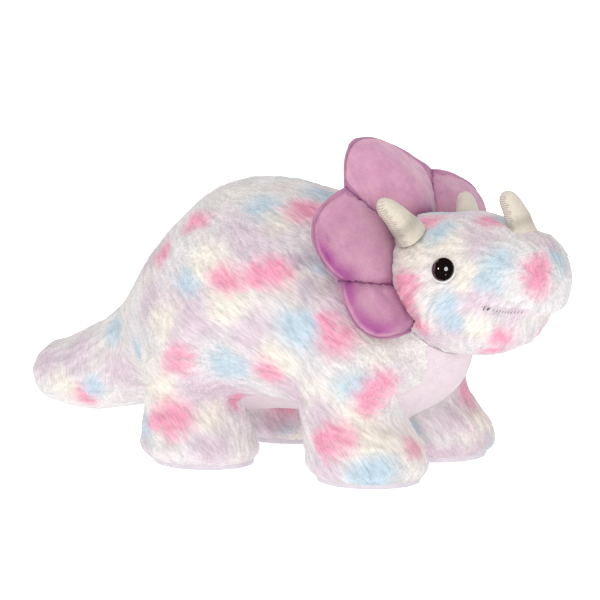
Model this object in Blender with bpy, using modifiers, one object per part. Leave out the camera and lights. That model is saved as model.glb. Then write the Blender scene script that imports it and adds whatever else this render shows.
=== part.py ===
"""Stuffed triceratops: fur and velour panels sewn over stuffing, with a padded frill,
three soft horns, safety eyes and four legs, as an assembly of separate pieces.

Metres, +X towards the nose, +Y towards the animal's left, +Z up. The origin is on the
ground, under the middle of the whole toy. Every body of the toy is a loft: rings of a
rounded section, laid along a line, that narrow to a round end.
"""

import math

import bmesh
import bpy
import numpy as np
from mathutils import Matrix, Vector

TOY_NAME = "stuffed_triceratops"

# Fabrics and clearances
FUR_THICKNESS = 0.003
VELOUR_THICKNESS = 0.0012
FRILL_FABRIC = 0.0008
GAP = 0.0004
MOVING_GAP = 0.0011
TRIM_GAP = 0.0003

# A lengthwise station is (x, centre height, half height, half width)
TORSO_STATIONS = (
    (-0.117, 0.072, 0.028, 0.028),
    (-0.100, 0.071, 0.037, 0.040),
    (-0.080, 0.077, 0.048, 0.052),
    (-0.050, 0.087, 0.063, 0.066),
    (-0.015, 0.091, 0.068, 0.073),
    (0.020, 0.090, 0.0655, 0.073),
    (0.050, 0.085, 0.058, 0.067),
    (0.075, 0.076, 0.046, 0.058),
    (0.095, 0.064, 0.030, 0.045),
    (0.108, 0.057, 0.020, 0.032),
)
TORSO_CAPS = (0.036, 0.024)
TAIL_STATIONS = (
    (-0.1765, 0.034, 0.014, 0.015),
    (-0.160, 0.036, 0.0175, 0.019),
    (-0.135, 0.042, 0.025, 0.026),
    (-0.115, 0.048, 0.0295, 0.0295),
    (-0.098, 0.050, 0.030, 0.030),
    (-0.068, 0.050, 0.030, 0.030),
)
TAIL_CAPS = (0.014, 0.030)
TAIL_PIVOT = Vector((-0.098, 0.0, 0.050))
TAIL_SWING = math.radians(15)

HEAD_BALL = 0.039
HEAD_PIVOT = Vector((0.078, 0.0, 0.111))
HEAD_STATIONS = (
    (0.039, 0.111, 0.039, 0.039),
    (0.078, 0.111, 0.039, 0.039),
    (0.095, 0.1115, 0.0415, 0.043),
    (0.118, 0.1115, 0.042, 0.0435),
    (0.136, 0.1115, 0.0395, 0.0395),
    (0.150, 0.1125, 0.0345, 0.034),
    (0.163, 0.115, 0.030, 0.030),
    (0.1765, 0.119, 0.024, 0.024),
)
HEAD_CAPS = (HEAD_BALL, 0.020)
HEAD_TURN = math.radians(8)
HEAD_NOD = (math.radians(-8), math.radians(6))

NECK_INNER = 0.0402
NECK_THICKNESS = 0.006
NECK_AXIS = Vector((-1.0, 0.0, -0.15)).normalized()
NECK_SPREAD = math.radians(50)
NECK_POCKET = 0.0478

# A leg station is (height, forward shift of the centre, half length, half width)
FRONT_LEG_OUT = 0.0440
HIND_LEG_OUT = 0.0460
LEG_RADIUS = 0.029
HIP_HEIGHT = 0.058
LEG_TOP = HIP_HEIGHT + LEG_RADIUS
LEG_SWING = math.radians(12)
FRONT_LEG_X = 0.067
HIND_LEG_X = -0.042
FRONT_LEG_STATIONS = (
    (0.000, 0.004, 0.027, 0.024),
    (0.006, 0.004, 0.033, 0.030),
    (0.018, 0.004, 0.035, 0.0315),
    (0.036, 0.002, 0.0320, 0.0305),
    (HIP_HEIGHT, 0.0, LEG_RADIUS, LEG_RADIUS),
    (LEG_TOP, 0.0, LEG_RADIUS, LEG_RADIUS),
)
HIND_LEG_STATIONS = (
    (0.000, 0.003, 0.026, 0.024),
    (0.006, 0.003, 0.032, 0.030),
    (0.018, 0.0025, 0.034, 0.0315),
    (0.036, 0.0015, 0.0315, 0.0305),
    (HIP_HEIGHT, 0.0, LEG_RADIUS, LEG_RADIUS),
    (LEG_TOP, 0.0, LEG_RADIUS, LEG_RADIUS),
)
SOLE_HEIGHT = 0.0065

# The velour underside: (x, half width, top edge height) of the strip cut for it
BELLY_STRIP = (
    (-0.094, 0.012, 0.045),
    (-0.060, 0.019, 0.050),
    (0.055, 0.020, 0.055),
    (0.085, 0.028, 0.078),
    (0.096, 0.060, 0.085),
    (0.125, 0.060, 0.085),
)

# The frill's ribs on the animal's left, from the top centre down to the end at the cheek.
# Inner edge: (x, angle round the head from the top). Outer edge: a point.
FRILL_GAP = 0.0030
FRILL_SEAMS = (
    (0.078, math.radians(33), Vector((0.058, 0.046, 0.168))),
    (0.086, math.radians(86), Vector((0.074, 0.072, 0.121))),
    (0.099, math.radians(115), Vector((0.102, 0.047, 0.090))),
)
FRILL_TIPS = (
    (0.083, 0.0, Vector((0.046, 0.000, 0.189))),
    (0.082, math.radians(60), Vector((0.058, 0.083, 0.152))),
    (0.093, math.radians(101), Vector((0.090, 0.067, 0.096))),
)
FRILL_HALF_THICKNESS = (0.008, 0.0075, 0.0055)
FRILL_EDGE_HALF = 0.0011
FRILL_ROUNDNESS = 0.80
FRILL_COLUMNS = 5
FRILL_ROWS = 5

# Horns: base on the head, tip, bend of the middle, base radius, tip radius
BROW_BASE = Vector((0.0945, 0.0300, 0.1412))
BROW_TIP = Vector((0.0830, 0.0385, 0.1610))
BROW_BEND = Vector((0.0010, 0.0015, 0.0020))
BROW_RADII = (0.0082, 0.0042)
NOSE_BASE = Vector((0.1485, 0.0, 0.1495))
NOSE_TIP = Vector((0.1405, 0.0, 0.1665))
NOSE_BEND = Vector((0.0030, 0.0, 0.0015))
NOSE_RADII = (0.0078, 0.0040)
HORN_FABRIC = 0.0009
HORN_ROUND_FROM = 0.55
HORN_ROOT = -0.3
HOLLOW_ROOT = 1.2 * HORN_ROOT

# Safety eyes
EYE_X = 0.122
EYE_ANGLE = math.radians(70)
EYE_RADIUS = 0.0066
EYE_DOME_HEIGHT = 0.0042
EYE_RING_RADIUS = 0.0076
EYE_RING_THICKNESS = 0.0010
EYE_LIFT = 0.0006
STEM_SEGMENTS = 8
STEM_OVERLAP = 0.0010
STEM_RADIUS = 0.0016
STEM_LENGTH = 0.0085
WASHER_RADIUS = 0.0055
WASHER_THICKNESS = 0.0012
WASHER_DEPTH = 0.0014

MOUTH_THREAD = 0.0007
MOUTH_HEIGHT = 0.1015
MOUTH_SAG = 0.003
MOUTH_MIDDLE_GAP = 0.0012
MOUTH_CORNER_X = 0.143
MOUTH_END_BACK = 0.009

BODY_SEGMENTS = 20
HULL_SIMPLIFY = math.radians(8)
LEG_SEGMENTS = 14
TORSO_RING_SPACING = 0.020
HEAD_RING_SPACING = 0.017
LIMB_RING_SPACING = 0.018
HORN_SEGMENTS = 10

FUR = ((0.86, 0.80, 0.84), 0.95)
LILAC_VELOUR = ((0.76, 0.68, 0.78), 0.85)
MAUVE_VELOUR = ((0.60, 0.36, 0.52), 0.85)
MAUVE_BACK = ((0.56, 0.32, 0.48), 0.85)
HORN_VELOUR = ((0.72, 0.69, 0.64), 0.85)
SOLE_VELOUR = ((0.78, 0.76, 0.79), 0.9)
STUFFING = ((0.93, 0.93, 0.91), 1.0)
EYE_BLACK = ((0.012, 0.011, 0.010), 0.06)
EYE_WHITE = ((0.90, 0.90, 0.88), 0.35)
WASHER_PLASTIC = ((0.80, 0.80, 0.78), 0.45)
THREAD = ((0.10, 0.07, 0.09), 0.7)


# ---------------------------------------------------------------- scene and materials


def clear_scene():
    for old in list(bpy.data.objects):
        bpy.data.objects.remove(old, do_unlink=True)


def add_collection(name):
    collection = bpy.data.collections.new(name)
    bpy.context.scene.collection.children.link(collection)
    return collection


def paint(obj, finish):
    """Gives a piece a material of its own."""
    colour, roughness = finish
    material = bpy.data.materials.new(obj.name + "_material")
    material.use_nodes = True
    shader = material.node_tree.nodes["Principled BSDF"]
    shader.inputs["Base Color"].default_value = (*colour, 1.0)
    shader.inputs["Roughness"].default_value = roughness
    shader.inputs["Metallic"].default_value = 0.0
    obj.data.materials.append(material)


def add_object(name, mesh_builder, collection):
    """Turns a bmesh into a smooth-shaded object in a collection."""
    mesh = bpy.data.meshes.new(name)
    mesh_builder.to_mesh(mesh)
    mesh_builder.free()
    mesh.shade_smooth()
    obj = bpy.data.objects.new(name, mesh)
    collection.objects.link(obj)
    return obj


def add_piece(name, mesh_builder, finish, pivot=None):
    """A real piece of the toy. With a pivot, its origin is moved onto its joint."""
    obj = add_object(name, mesh_builder, pieces)
    paint(obj, finish)
    if pivot is not None:
        obj.data.transform(Matrix.Translation(-pivot))
        obj.location = pivot
    return obj


def add_cutter(name, mesh_builder):
    obj = add_object(name, mesh_builder, cutters)
    obj.hide_render = True
    obj.display_type = "WIRE"
    return obj


def cut(obj, cutter, operation="DIFFERENCE", solver="EXACT"):
    boolean = obj.modifiers.new(cutter.name, "BOOLEAN")
    boolean.operation = operation
    boolean.object = cutter
    boolean.solver = solver


def solidify(obj, thickness):
    """Grows an open sheet by half its thickness to each side."""
    shell = obj.modifiers.new("fabric", "SOLIDIFY")
    shell.thickness = thickness
    shell.offset = 0.0
    shell.use_even_offset = True


# ---------------------------------------------------------------- lofts


def station_at(stations, position):
    """Smoothly interpolated station at a position, as an array without the position."""
    table = np.array(stations, float)
    positions = table[:, 0]
    values = table[:, 1:]
    slopes = np.gradient(values, positions, axis=0)
    i = int(np.clip(np.searchsorted(positions, position) - 1, 0, len(positions) - 2))
    span = positions[i + 1] - positions[i]
    t = (position - positions[i]) / span
    start = (2 * t**3 - 3 * t**2 + 1) * values[i] + (t**3 - 2 * t**2 + t) * span * slopes[i]
    end = (3 * t**2 - 2 * t**3) * values[i + 1] + (t**3 - t**2) * span * slopes[i + 1]
    return start + end


def cap_factor(stations, caps, position):
    """How much of the full section is left in the round ends of a loft."""
    factor = 1.0
    for end, cap in ((stations[0][0], caps[0]), (stations[-1][0], caps[1])):
        inside = abs(position - end)
        if cap > 0 and inside < cap:
            factor = math.sqrt(max(0.0, 1.0 - (1.0 - inside / cap) ** 2))
    return factor


def ring_places(stations, caps, spacing):
    """Positions of a loft's rings: close together in the round ends, even between them."""
    start, end = stations[0][0], stations[-1][0]
    places = []
    if caps[0] > 0:
        steps = max(3, round(caps[0] / spacing * 1.4))
        turns = [0.5 * math.pi * i / steps for i in range(1, steps)]
        places += [start + caps[0] * (1 - math.cos(turn)) for turn in turns]
    low, high = start + caps[0], end - caps[1]
    steps = max(1, round((high - low) / spacing))
    places += [low + (high - low) * i / steps for i in range(steps + 1)]
    if caps[1] > 0:
        steps = max(3, round(caps[1] / spacing * 1.4))
        turns = [0.5 * math.pi * i / steps for i in range(steps - 1, 0, -1)]
        places += [end - caps[1] * (1 - math.cos(turn)) for turn in turns]
    return places


def join_rings(rings, first_pole=None, last_pole=None):
    """A closed bmesh from rings of equal length. Without a pole an end is a flat face."""
    builder = bmesh.new()
    rows = [[builder.verts.new(point) for point in ring] for ring in rings]
    count = len(rows[0])
    for lower, upper in zip(rows, rows[1:]):
        for i in range(count):
            j = (i + 1) % count
            builder.faces.new((lower[i], lower[j], upper[j], upper[i]))
    for row, pole in ((rows[0], first_pole), (rows[-1], last_pole)):
        if pole is None:
            builder.faces.new(row)
            continue
        tip = builder.verts.new(pole)
        for i in range(count):
            builder.faces.new((row[i], row[(i + 1) % count], tip))
    bmesh.ops.recalc_face_normals(builder, faces=builder.faces)
    return builder


def section_point(stations, caps, x, angle, outset=0.0):
    """A point on a lengthwise loft. The angle runs from the top towards the left side."""
    centre, half_height, half_width = station_at(stations, x)
    factor = cap_factor(stations, caps, x)
    height = half_height * factor + outset
    width = half_width * factor + outset
    return Vector((x, width * math.sin(angle), centre + height * math.cos(angle)))


def lengthwise_loft(stations, caps, spacing, segments):
    """A closed body along X, round at both ends."""
    rings = []
    for x in ring_places(stations, caps, spacing):
        angles = (2 * math.pi * (i + 0.5) / segments for i in range(segments))
        rings.append([section_point(stations, caps, x, angle) for angle in angles])
    poles = [Vector((s[0], 0.0, station_at(stations, s[0])[0])) for s in (stations[0], stations[-1])]
    return join_rings(rings, *poles)


def upright_loft(stations, caps, spacing, segments, x, y, low=0.0):
    """A closed body along Z, flat at the bottom and round at the top."""
    rings = []
    places = [low] + [s[0] for s in stations[1:3] if s[0] > low]
    places += [z for z in ring_places(stations, caps, spacing) if z > places[-1] + 0.5 * spacing]
    for z in places:
        shift, half_length, half_width = station_at(stations, z)
        factor = cap_factor(stations, caps, z)
        angles = [2 * math.pi * i / segments for i in range(segments)]
        rings.append(
            [
                Vector(
                    (
                        x + shift + half_length * factor * math.cos(angle),
                        y + half_width * factor * math.sin(angle),
                        z,
                    )
                )
                for angle in angles
            ]
        )
    return join_rings(rings, None, Vector((x, y, stations[-1][0])))


def moved_inwards(builder, distance):
    """A copy of a closed bmesh with every wall moved inwards by the distance."""
    smaller = builder.copy()
    smaller.normal_update()
    moves = [vertex.normal * distance * vertex.calc_shell_factor() for vertex in smaller.verts]
    for vertex, move in zip(smaller.verts, moves):
        vertex.co -= move
    return smaller


def turn_about(pivot, angle, axis):
    shift = Matrix.Translation(pivot)
    return shift @ Matrix.Rotation(angle, 4, axis) @ shift.inverted()


def convex_hull(points):
    """A closed bmesh round the points, with only the corners that it needs."""
    hull = bmesh.new()
    for point in points:
        hull.verts.new(point)
    made = bmesh.ops.convex_hull(hull, input=hull.verts, use_existing_faces=False)
    left_over = made["geom_interior"] + made["geom_unused"]
    spare = {item for item in left_over if isinstance(item, bmesh.types.BMVert)}
    bmesh.ops.delete(hull, geom=list(spare), context="VERTS")
    bmesh.ops.recalc_face_normals(hull, faces=hull.faces)
    return hull


def swept_hull(name, builder, turns, clearance):
    """The room that a convex body needs when it is turned in all the given ways."""
    grown = moved_inwards(builder, -clearance)
    points = [turn @ vertex.co for turn in turns for vertex in grown.verts]
    grown.free()
    fine = convex_hull(points)
    bmesh.ops.remove_doubles(fine, verts=fine.verts, dist=0.001)
    bmesh.ops.dissolve_limit(fine, angle_limit=HULL_SIMPLIFY, verts=fine.verts, edges=fine.edges)
    coarse = convex_hull([vertex.co.copy() for vertex in fine.verts])
    fine.free()
    return add_cutter(name, coarse)


def ball(centre, radius, segments=20):
    builder = bmesh.new()
    bmesh.ops.create_uvsphere(builder, u_segments=segments, v_segments=segments // 2, radius=radius)
    builder.transform(Matrix.Translation(centre))
    return builder


def half_space(side):
    """A box over the left (side 1) or right (side -1) of the toy, with the seam's gap."""
    builder = bmesh.new()
    bmesh.ops.create_cube(builder, size=1.0)
    for vertex in builder.verts:
        vertex.co.y += side * (0.5 + 0.5 * GAP)
    return builder


def belly_strip(grow):
    """The region of the torso's cover that is cut in velour."""
    rings = []
    for x, half_width, top in BELLY_STRIP:
        width = half_width + grow
        rings.append(
            [
                Vector((x, -width, -0.02)),
                Vector((x, width, -0.02)),
                Vector((x, width, top + grow)),
                Vector((x, -width, top + grow)),
            ]
        )
    return join_rings(rings)


# ---------------------------------------------------------------- torso, neck and tail


def make_cover(name, outer, thickness, finish, keep, remove):
    """One panel of a body's cover: the shell of the body inside `keep`, without `remove`.

    The pockets in `remove` need the manifold solver: the exact one loses a thin panel that
    several curved cutters cross.
    """
    cover = add_piece(name, outer.copy(), finish)
    inner = add_cutter(name + "_hollow", moved_inwards(outer, thickness))
    cut(cover, inner)
    cut(cover, keep, "INTERSECT")
    for cutter in remove:
        cut(cover, cutter, solver="MANIFOLD")


def make_torso(room):
    outer = lengthwise_loft(TORSO_STATIONS, TORSO_CAPS, TORSO_RING_SPACING, BODY_SEGMENTS)
    stuffing = add_piece("torso_stuffing", moved_inwards(outer, FUR_THICKNESS + GAP), STUFFING)
    for cutter in room:
        cut(stuffing, cutter)
    strip = add_cutter("belly_strip", belly_strip(0.0))
    strip_hole = add_cutter("belly_strip_hole", belly_strip(GAP))
    for side, word in ((1, "left"), (-1, "right")):
        half = add_cutter("torso_half_" + word, half_space(side))
        make_cover("torso_fur_" + word, outer, FUR_THICKNESS, FUR, half, [strip_hole, *room])
    make_cover("belly_panel", outer, VELOUR_THICKNESS, LILAC_VELOUR, strip, room)
    outer.free()


def make_neck():
    builder = ball(Vector(), NECK_INNER + 0.5 * NECK_THICKNESS)
    outside = [v for v in builder.verts if v.co.angle(Vector((0, 0, 1)), math.pi) > NECK_SPREAD]
    bmesh.ops.delete(builder, geom=outside, context="VERTS")
    tilt = Vector((0, 0, 1)).rotation_difference(NECK_AXIS).to_matrix().to_4x4()
    builder.transform(Matrix.Translation(HEAD_PIVOT) @ tilt)
    neck = add_piece("neck_stuffing", builder, STUFFING, HEAD_PIVOT)
    solidify(neck, NECK_THICKNESS)


def tail_body():
    return lengthwise_loft(TAIL_STATIONS, TAIL_CAPS, LIMB_RING_SPACING, LEG_SEGMENTS)


def make_tail():
    outer = tail_body()
    add_piece("tail_stuffing", moved_inwards(outer, FUR_THICKNESS + GAP), STUFFING, TAIL_PIVOT)
    for side, word in ((1, "left"), (-1, "right")):
        half = add_cutter("tail_half_" + word, half_space(side))
        make_cover("tail_fur_" + word, outer, FUR_THICKNESS, FUR, half, [])
    outer.free()


# ---------------------------------------------------------------- legs


def leg_body(stations, x, y):
    return upright_loft(stations, (0.0, LEG_RADIUS), LIMB_RING_SPACING, LEG_SEGMENTS, x, y)


def make_leg(word, stations, x, y):
    """A fur sleeve, its stuffing and a velour sole with a flat bottom."""
    hip = Vector((x, y, HIP_HEIGHT))
    outer = leg_body(stations, x, y)
    inner = add_cutter("leg_hollow_" + word, moved_inwards(outer, FUR_THICKNESS))
    above = bmesh.new()
    bmesh.ops.create_cube(above, size=0.2)
    above.transform(Matrix.Translation((x, y, SOLE_HEIGHT + 0.1)))
    below = bmesh.new()
    bmesh.ops.create_cube(below, size=0.2)
    below.transform(Matrix.Translation((x, y, SOLE_HEIGHT - GAP - 0.1)))
    above = add_cutter("sleeve_region_" + word, above)
    below = add_cutter("sole_region_" + word, below)

    sleeve = add_piece("leg_fur_" + word, outer.copy(), FUR)
    cut(sleeve, above, "INTERSECT")
    cut(sleeve, inner)
    sole_hollow = add_cutter("sole_hollow_" + word, moved_inwards(outer, VELOUR_THICKNESS))
    sole = add_piece("sole_" + word, outer.copy(), SOLE_VELOUR)
    cut(sole, below, "INTERSECT")
    cut(sole, sole_hollow)
    add_piece("leg_stuffing_" + word, moved_inwards(outer, FUR_THICKNESS + GAP), STUFFING, hip)
    outer.free()


# ---------------------------------------------------------------- head


def head_body():
    return lengthwise_loft(HEAD_STATIONS, HEAD_CAPS, HEAD_RING_SPACING, BODY_SEGMENTS)


def head_point(x, angle, outset=0.0):
    return section_point(HEAD_STATIONS, HEAD_CAPS, x, angle, outset)


def head_normal(x, angle):
    """The direction straight out of the head's surface."""
    step = 0.001
    along = head_point(x + step, angle) - head_point(x - step, angle)
    around = head_point(x, angle + step) - head_point(x, angle - step)
    return along.cross(around).normalized()


def disc_solid(radius, low, high, centre, normal, segments=14):
    """A closed cylinder between two heights along a normal."""
    builder = bmesh.new()
    bmesh.ops.create_cone(
        builder,
        cap_ends=True,
        segments=segments,
        radius1=radius,
        radius2=radius,
        depth=high - low,
    )
    builder.transform(Matrix.Translation((0, 0, 0.5 * (low + high))))
    tilt = Vector((0, 0, 1)).rotation_difference(normal).to_matrix().to_4x4()
    builder.transform(Matrix.Translation(centre) @ tilt)
    return builder


def half_ball(radius, height, low, centre, normal):
    """A closed dome whose flat side is at a height along a normal."""
    builder = bmesh.new()
    bmesh.ops.create_uvsphere(builder, u_segments=16, v_segments=8, radius=1.0)
    everything = builder.verts[:] + builder.edges[:] + builder.faces[:]
    halved = bmesh.ops.bisect_plane(
        builder,
        geom=everything,
        plane_co=(0, 0, 0),
        plane_no=(0, 0, -1),
        clear_outer=True,
    )
    rim = [item for item in halved["geom_cut"] if isinstance(item, bmesh.types.BMEdge)]
    bmesh.ops.contextual_create(builder, geom=rim)
    builder.transform(Matrix.Diagonal((radius, radius, height, 1.0)))
    builder.transform(Matrix.Translation((0, 0, low)))
    tilt = Vector((0, 0, 1)).rotation_difference(normal).to_matrix().to_4x4()
    builder.transform(Matrix.Translation(centre) @ tilt)
    return builder


def make_eye(word, side):
    """A black dome on a stem, a white ring behind it and the washer that locks it."""
    centre = head_point(EYE_X, EYE_ANGLE)
    normal = head_normal(EYE_X, EYE_ANGLE)
    centre.y *= side
    normal.y *= side
    ring_low = EYE_LIFT
    ring_high = ring_low + EYE_RING_THICKNESS
    dome_low = ring_high + TRIM_GAP

    dome = half_ball(EYE_RADIUS, EYE_DOME_HEIGHT, dome_low, centre, normal)
    eye = add_piece("eye_" + word, dome, EYE_BLACK)
    stem_top = dome_low + STEM_OVERLAP
    stem = disc_solid(STEM_RADIUS, -STEM_LENGTH, stem_top, centre, normal, STEM_SEGMENTS)
    cut(eye, add_cutter("eye_stem_" + word, stem), "UNION")

    hole = disc_solid(
        STEM_RADIUS + TRIM_GAP,
        -STEM_LENGTH - STEM_OVERLAP,
        ring_high + STEM_OVERLAP,
        centre,
        normal,
        STEM_SEGMENTS,
    )
    stem_hole = add_cutter("eye_hole_" + word, hole)
    disc = disc_solid(EYE_RING_RADIUS, ring_low, ring_high, centre, normal, 16)
    ring = add_piece("eye_ring_" + word, disc, EYE_WHITE)
    cut(ring, stem_hole)

    washer_high = -FUR_THICKNESS - WASHER_DEPTH
    washer_low = washer_high - WASHER_THICKNESS
    disc = disc_solid(WASHER_RADIUS, washer_low, washer_high, centre, normal)
    washer = add_piece("eye_washer_" + word, disc, WASHER_PLASTIC)
    cut(washer, stem_hole)
    room = disc_solid(WASHER_RADIUS + GAP, washer_low - GAP, 0.0, centre, normal)
    return stem_hole, add_cutter("washer_room_" + word, room)


def make_mouth(word, side):
    """Embroidered mouth line, a thread that lies on the snout's surface."""
    curve = bpy.data.curves.new("mouth_stitch_" + word, "CURVE")
    curve.dimensions = "3D"
    line = curve.splines.new("POLY")
    steps = 9
    line.points.add(steps - 1)
    end_x = HEAD_STATIONS[-1][0] - MOUTH_END_BACK
    for i, point in enumerate(line.points):
        t = i / (steps - 1)
        x = MOUTH_CORNER_X + (end_x - MOUTH_CORNER_X) * math.sin(0.5 * math.pi * t)
        centre, half_height, _ = station_at(HEAD_STATIONS, x)
        height = MOUTH_HEIGHT - MOUTH_SAG * math.sin(math.pi * t)
        reach = half_height * cap_factor(HEAD_STATIONS, HEAD_CAPS, x)
        angle = math.acos(max(-1.0, min(1.0, (height - centre) / reach)))
        place = head_point(x, angle) + head_normal(x, angle) * (MOUTH_THREAD + 2 * TRIM_GAP)
        place.y = max(place.y, MOUTH_MIDDLE_GAP)
        point.co = (place.x, side * place.y, place.z, 1.0)
    curve.bevel_depth = MOUTH_THREAD
    curve.bevel_resolution = 1
    curve.use_fill_caps = True
    thread = bpy.data.objects.new("mouth_stitch_" + word, curve)
    pieces.objects.link(thread)
    paint(thread, THREAD)


def make_head():
    outer = head_body()
    stem_holes = []
    washer_rooms = []
    for word, side in (("left", 1), ("right", -1)):
        hole, room = make_eye(word, side)
        stem_holes.append(hole)
        washer_rooms.append(room)
    stuffing = add_piece("head_stuffing", moved_inwards(outer, FUR_THICKNESS + GAP), STUFFING, HEAD_PIVOT)
    for cutter in stem_holes + washer_rooms:
        cut(stuffing, cutter)
    for index, (word, side) in enumerate((("left", 1), ("right", -1))):
        half = add_cutter("head_half_" + word, half_space(side))
        make_cover("head_fur_" + word, outer, FUR_THICKNESS, FUR, half, [stem_holes[index]])
        make_mouth(word, side)
    outer.free()


def horn_body(base, tip, bend, radii, inset=0.0, low=0.0):
    """A closed horn: rings round a bent axis with a round tip, all moved inwards by inset."""
    steps = 5
    rings = []
    for i in range(steps):
        t = i / steps if i else low
        into_tip = max(0.0, (t - HORN_ROUND_FROM) / (1 - HORN_ROUND_FROM))
        round_end = math.sqrt(1 - into_tip**2)
        radius = (radii[0] + (radii[1] - radii[0]) * t) * round_end - inset
        centre = base.lerp(tip, t) + bend * (4 * t * (1 - t))
        ahead = (tip - base) + bend * (4 - 8 * t)
        tilt = Vector((0, 0, 1)).rotation_difference(ahead.normalized()).to_matrix()
        angles = (2 * math.pi * k / HORN_SEGMENTS for k in range(HORN_SEGMENTS))
        spokes = [Vector((math.cos(angle), math.sin(angle), 0.0)) for angle in angles]
        rings.append([centre + tilt @ (radius * spoke) for spoke in spokes])
    return join_rings(rings, None, tip - (tip - base).normalized() * inset)


def make_horn(word, base, tip, bend, radii, head_room):
    """A velour cone over its stuffing, both trimmed to the head's surface."""
    cover = add_piece(word + "_velour", horn_body(base, tip, bend, radii, 0.0, HORN_ROOT), HORN_VELOUR)
    hollow = horn_body(base, tip, bend, radii, HORN_FABRIC, HOLLOW_ROOT)
    filling = horn_body(base, tip, bend, radii, HORN_FABRIC + GAP, HORN_ROOT)
    stuffing = add_piece(word + "_stuffing", filling, STUFFING)
    cut(cover, add_cutter(word + "_hollow", hollow))
    cut(cover, head_room)
    cut(stuffing, head_room)


# ---------------------------------------------------------------- frill


def lobe_outline():
    """The five lobes from the right cheek to the left: (seam, tip, seam, half thickness)."""
    top_seam, side_seam, end = FRILL_SEAMS
    top, middle, low = FRILL_TIPS
    thick = FRILL_HALF_THICKNESS

    def flipped(rib):
        x, angle, outer = rib
        return (x, -angle, Vector((outer.x, -outer.y, outer.z)))

    return (
        (flipped(end), flipped(low), flipped(side_seam), thick[2]),
        (flipped(side_seam), flipped(middle), flipped(top_seam), thick[1]),
        (flipped(top_seam), top, top_seam, thick[0]),
        (top_seam, middle, side_seam, thick[1]),
        (side_seam, low, end, thick[2]),
    )


def lobe_rib(lobe, s):
    """Inner and outer point of a lobe's rib at 0 to 1 between its two seams."""
    first, tip, last, _ = lobe
    straight_x = first[0] + (last[0] - first[0]) * s
    straight_angle = first[1] + (last[1] - first[1]) * s
    bow = 4 * s * (1 - s)
    x = straight_x + bow * (tip[0] - 0.5 * (first[0] + last[0]))
    angle = straight_angle + bow * (tip[1] - 0.5 * (first[1] + last[1]))
    round_bow = max(0.0, 1 - (2 * s - 1) ** 2) ** FRILL_ROUNDNESS
    outer = first[2].lerp(last[2], s) + round_bow * (tip[2] - 0.5 * (first[2] + last[2]))
    return head_point(x, angle, FRILL_GAP), outer


def lobe_half_thickness(lobe, s, t):
    """Half of the lobe's thickness: pinched at the seams and the rim, full in the middle."""
    across = max(0.0, math.sin(math.pi * s)) ** 0.7
    along = max(0.0, math.sin(math.pi * t)) ** 0.6
    return FRILL_EDGE_HALF + (lobe[3] - FRILL_EDGE_HALF) * across * along


def lobe_grid(lobe, offset, rim=0):
    """Points of a lobe's middle surface, moved by offset(half thickness) along its normal.
    With a rim, that many rows of points are left off on every side."""
    grid = []
    for i in range(rim, FRILL_COLUMNS + 1 - rim):
        s = i / FRILL_COLUMNS
        row = []
        for j in range(rim, FRILL_ROWS + 1 - rim):
            t = 0.5 * (1 - math.cos(math.pi * j / FRILL_ROWS))
            inner, outer = lobe_rib(lobe, s)
            middle = min(max(s, 0.08), 0.92)
            before = lobe_rib(lobe, middle - 0.04)
            after = lobe_rib(lobe, middle + 0.04)
            side = after[0].lerp(after[1], t) - before[0].lerp(before[1], t)
            normal = side.cross(outer - inner).normalized()
            half = lobe_half_thickness(lobe, s, t)
            row.append(inner.lerp(outer, t) + normal * offset(half))
        grid.append(row)
    return grid


def sheet_from(grid):
    builder = bmesh.new()
    rows = [[builder.verts.new(point) for point in row] for row in grid]
    for left, right in zip(rows, rows[1:]):
        for j in range(len(left) - 1):
            builder.faces.new((left[j], right[j], right[j + 1], left[j + 1]))
    return builder


def pad_from(front, back):
    """A closed pad between two grids of the same size."""
    builder = bmesh.new()
    faces = []
    layers = []
    for grid in (front, back):
        layers.append([[builder.verts.new(point) for point in row] for row in grid])
    for layer in layers:
        for left, right in zip(layer, layer[1:]):
            for j in range(len(left) - 1):
                faces.append((left[j], right[j], right[j + 1], left[j + 1]))
    rims = []
    for layer in layers:
        rim = [row[0] for row in layer]
        rim += layer[-1][1:]
        rim += [row[-1] for row in reversed(layer[:-1])]
        rim += list(reversed(layer[0][1:-1]))
        rims.append(rim)
    for i in range(len(rims[0])):
        j = (i + 1) % len(rims[0])
        faces.append((rims[0][i], rims[0][j], rims[1][j], rims[1][i]))
    for face in faces:
        builder.faces.new(face)
    bmesh.ops.recalc_face_normals(builder, faces=builder.faces)
    return builder


def make_frill():
    lobes = lobe_outline()
    names = ("right_lower", "right_middle", "top", "left_middle", "left_lower")
    middle = 0.5 * FRILL_FABRIC
    for word, sign, finish in (("front", -1, MAUVE_VELOUR), ("back", 1, MAUVE_BACK)):
        grid = []
        for lobe in lobes:
            columns = lobe_grid(lobe, lambda half: sign * (half - middle))
            grid += columns if not grid else columns[1:]
        sheet = add_piece("frill_" + word, sheet_from(grid), finish, HEAD_PIVOT)
        solidify(sheet, FRILL_FABRIC)
    inner = FRILL_FABRIC + 3 * GAP
    for word, lobe in zip(names, lobes):
        front = lobe_grid(lobe, lambda half: inner - half, 1)
        back = lobe_grid(lobe, lambda half: half - inner, 1)
        add_piece("frill_stuffing_" + word, pad_from(front, back), STUFFING, HEAD_PIVOT)


# ---------------------------------------------------------------- assembly


def spread(angles, pivot, axis):
    return [turn_about(pivot, angle, axis) for angle in angles]


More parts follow.
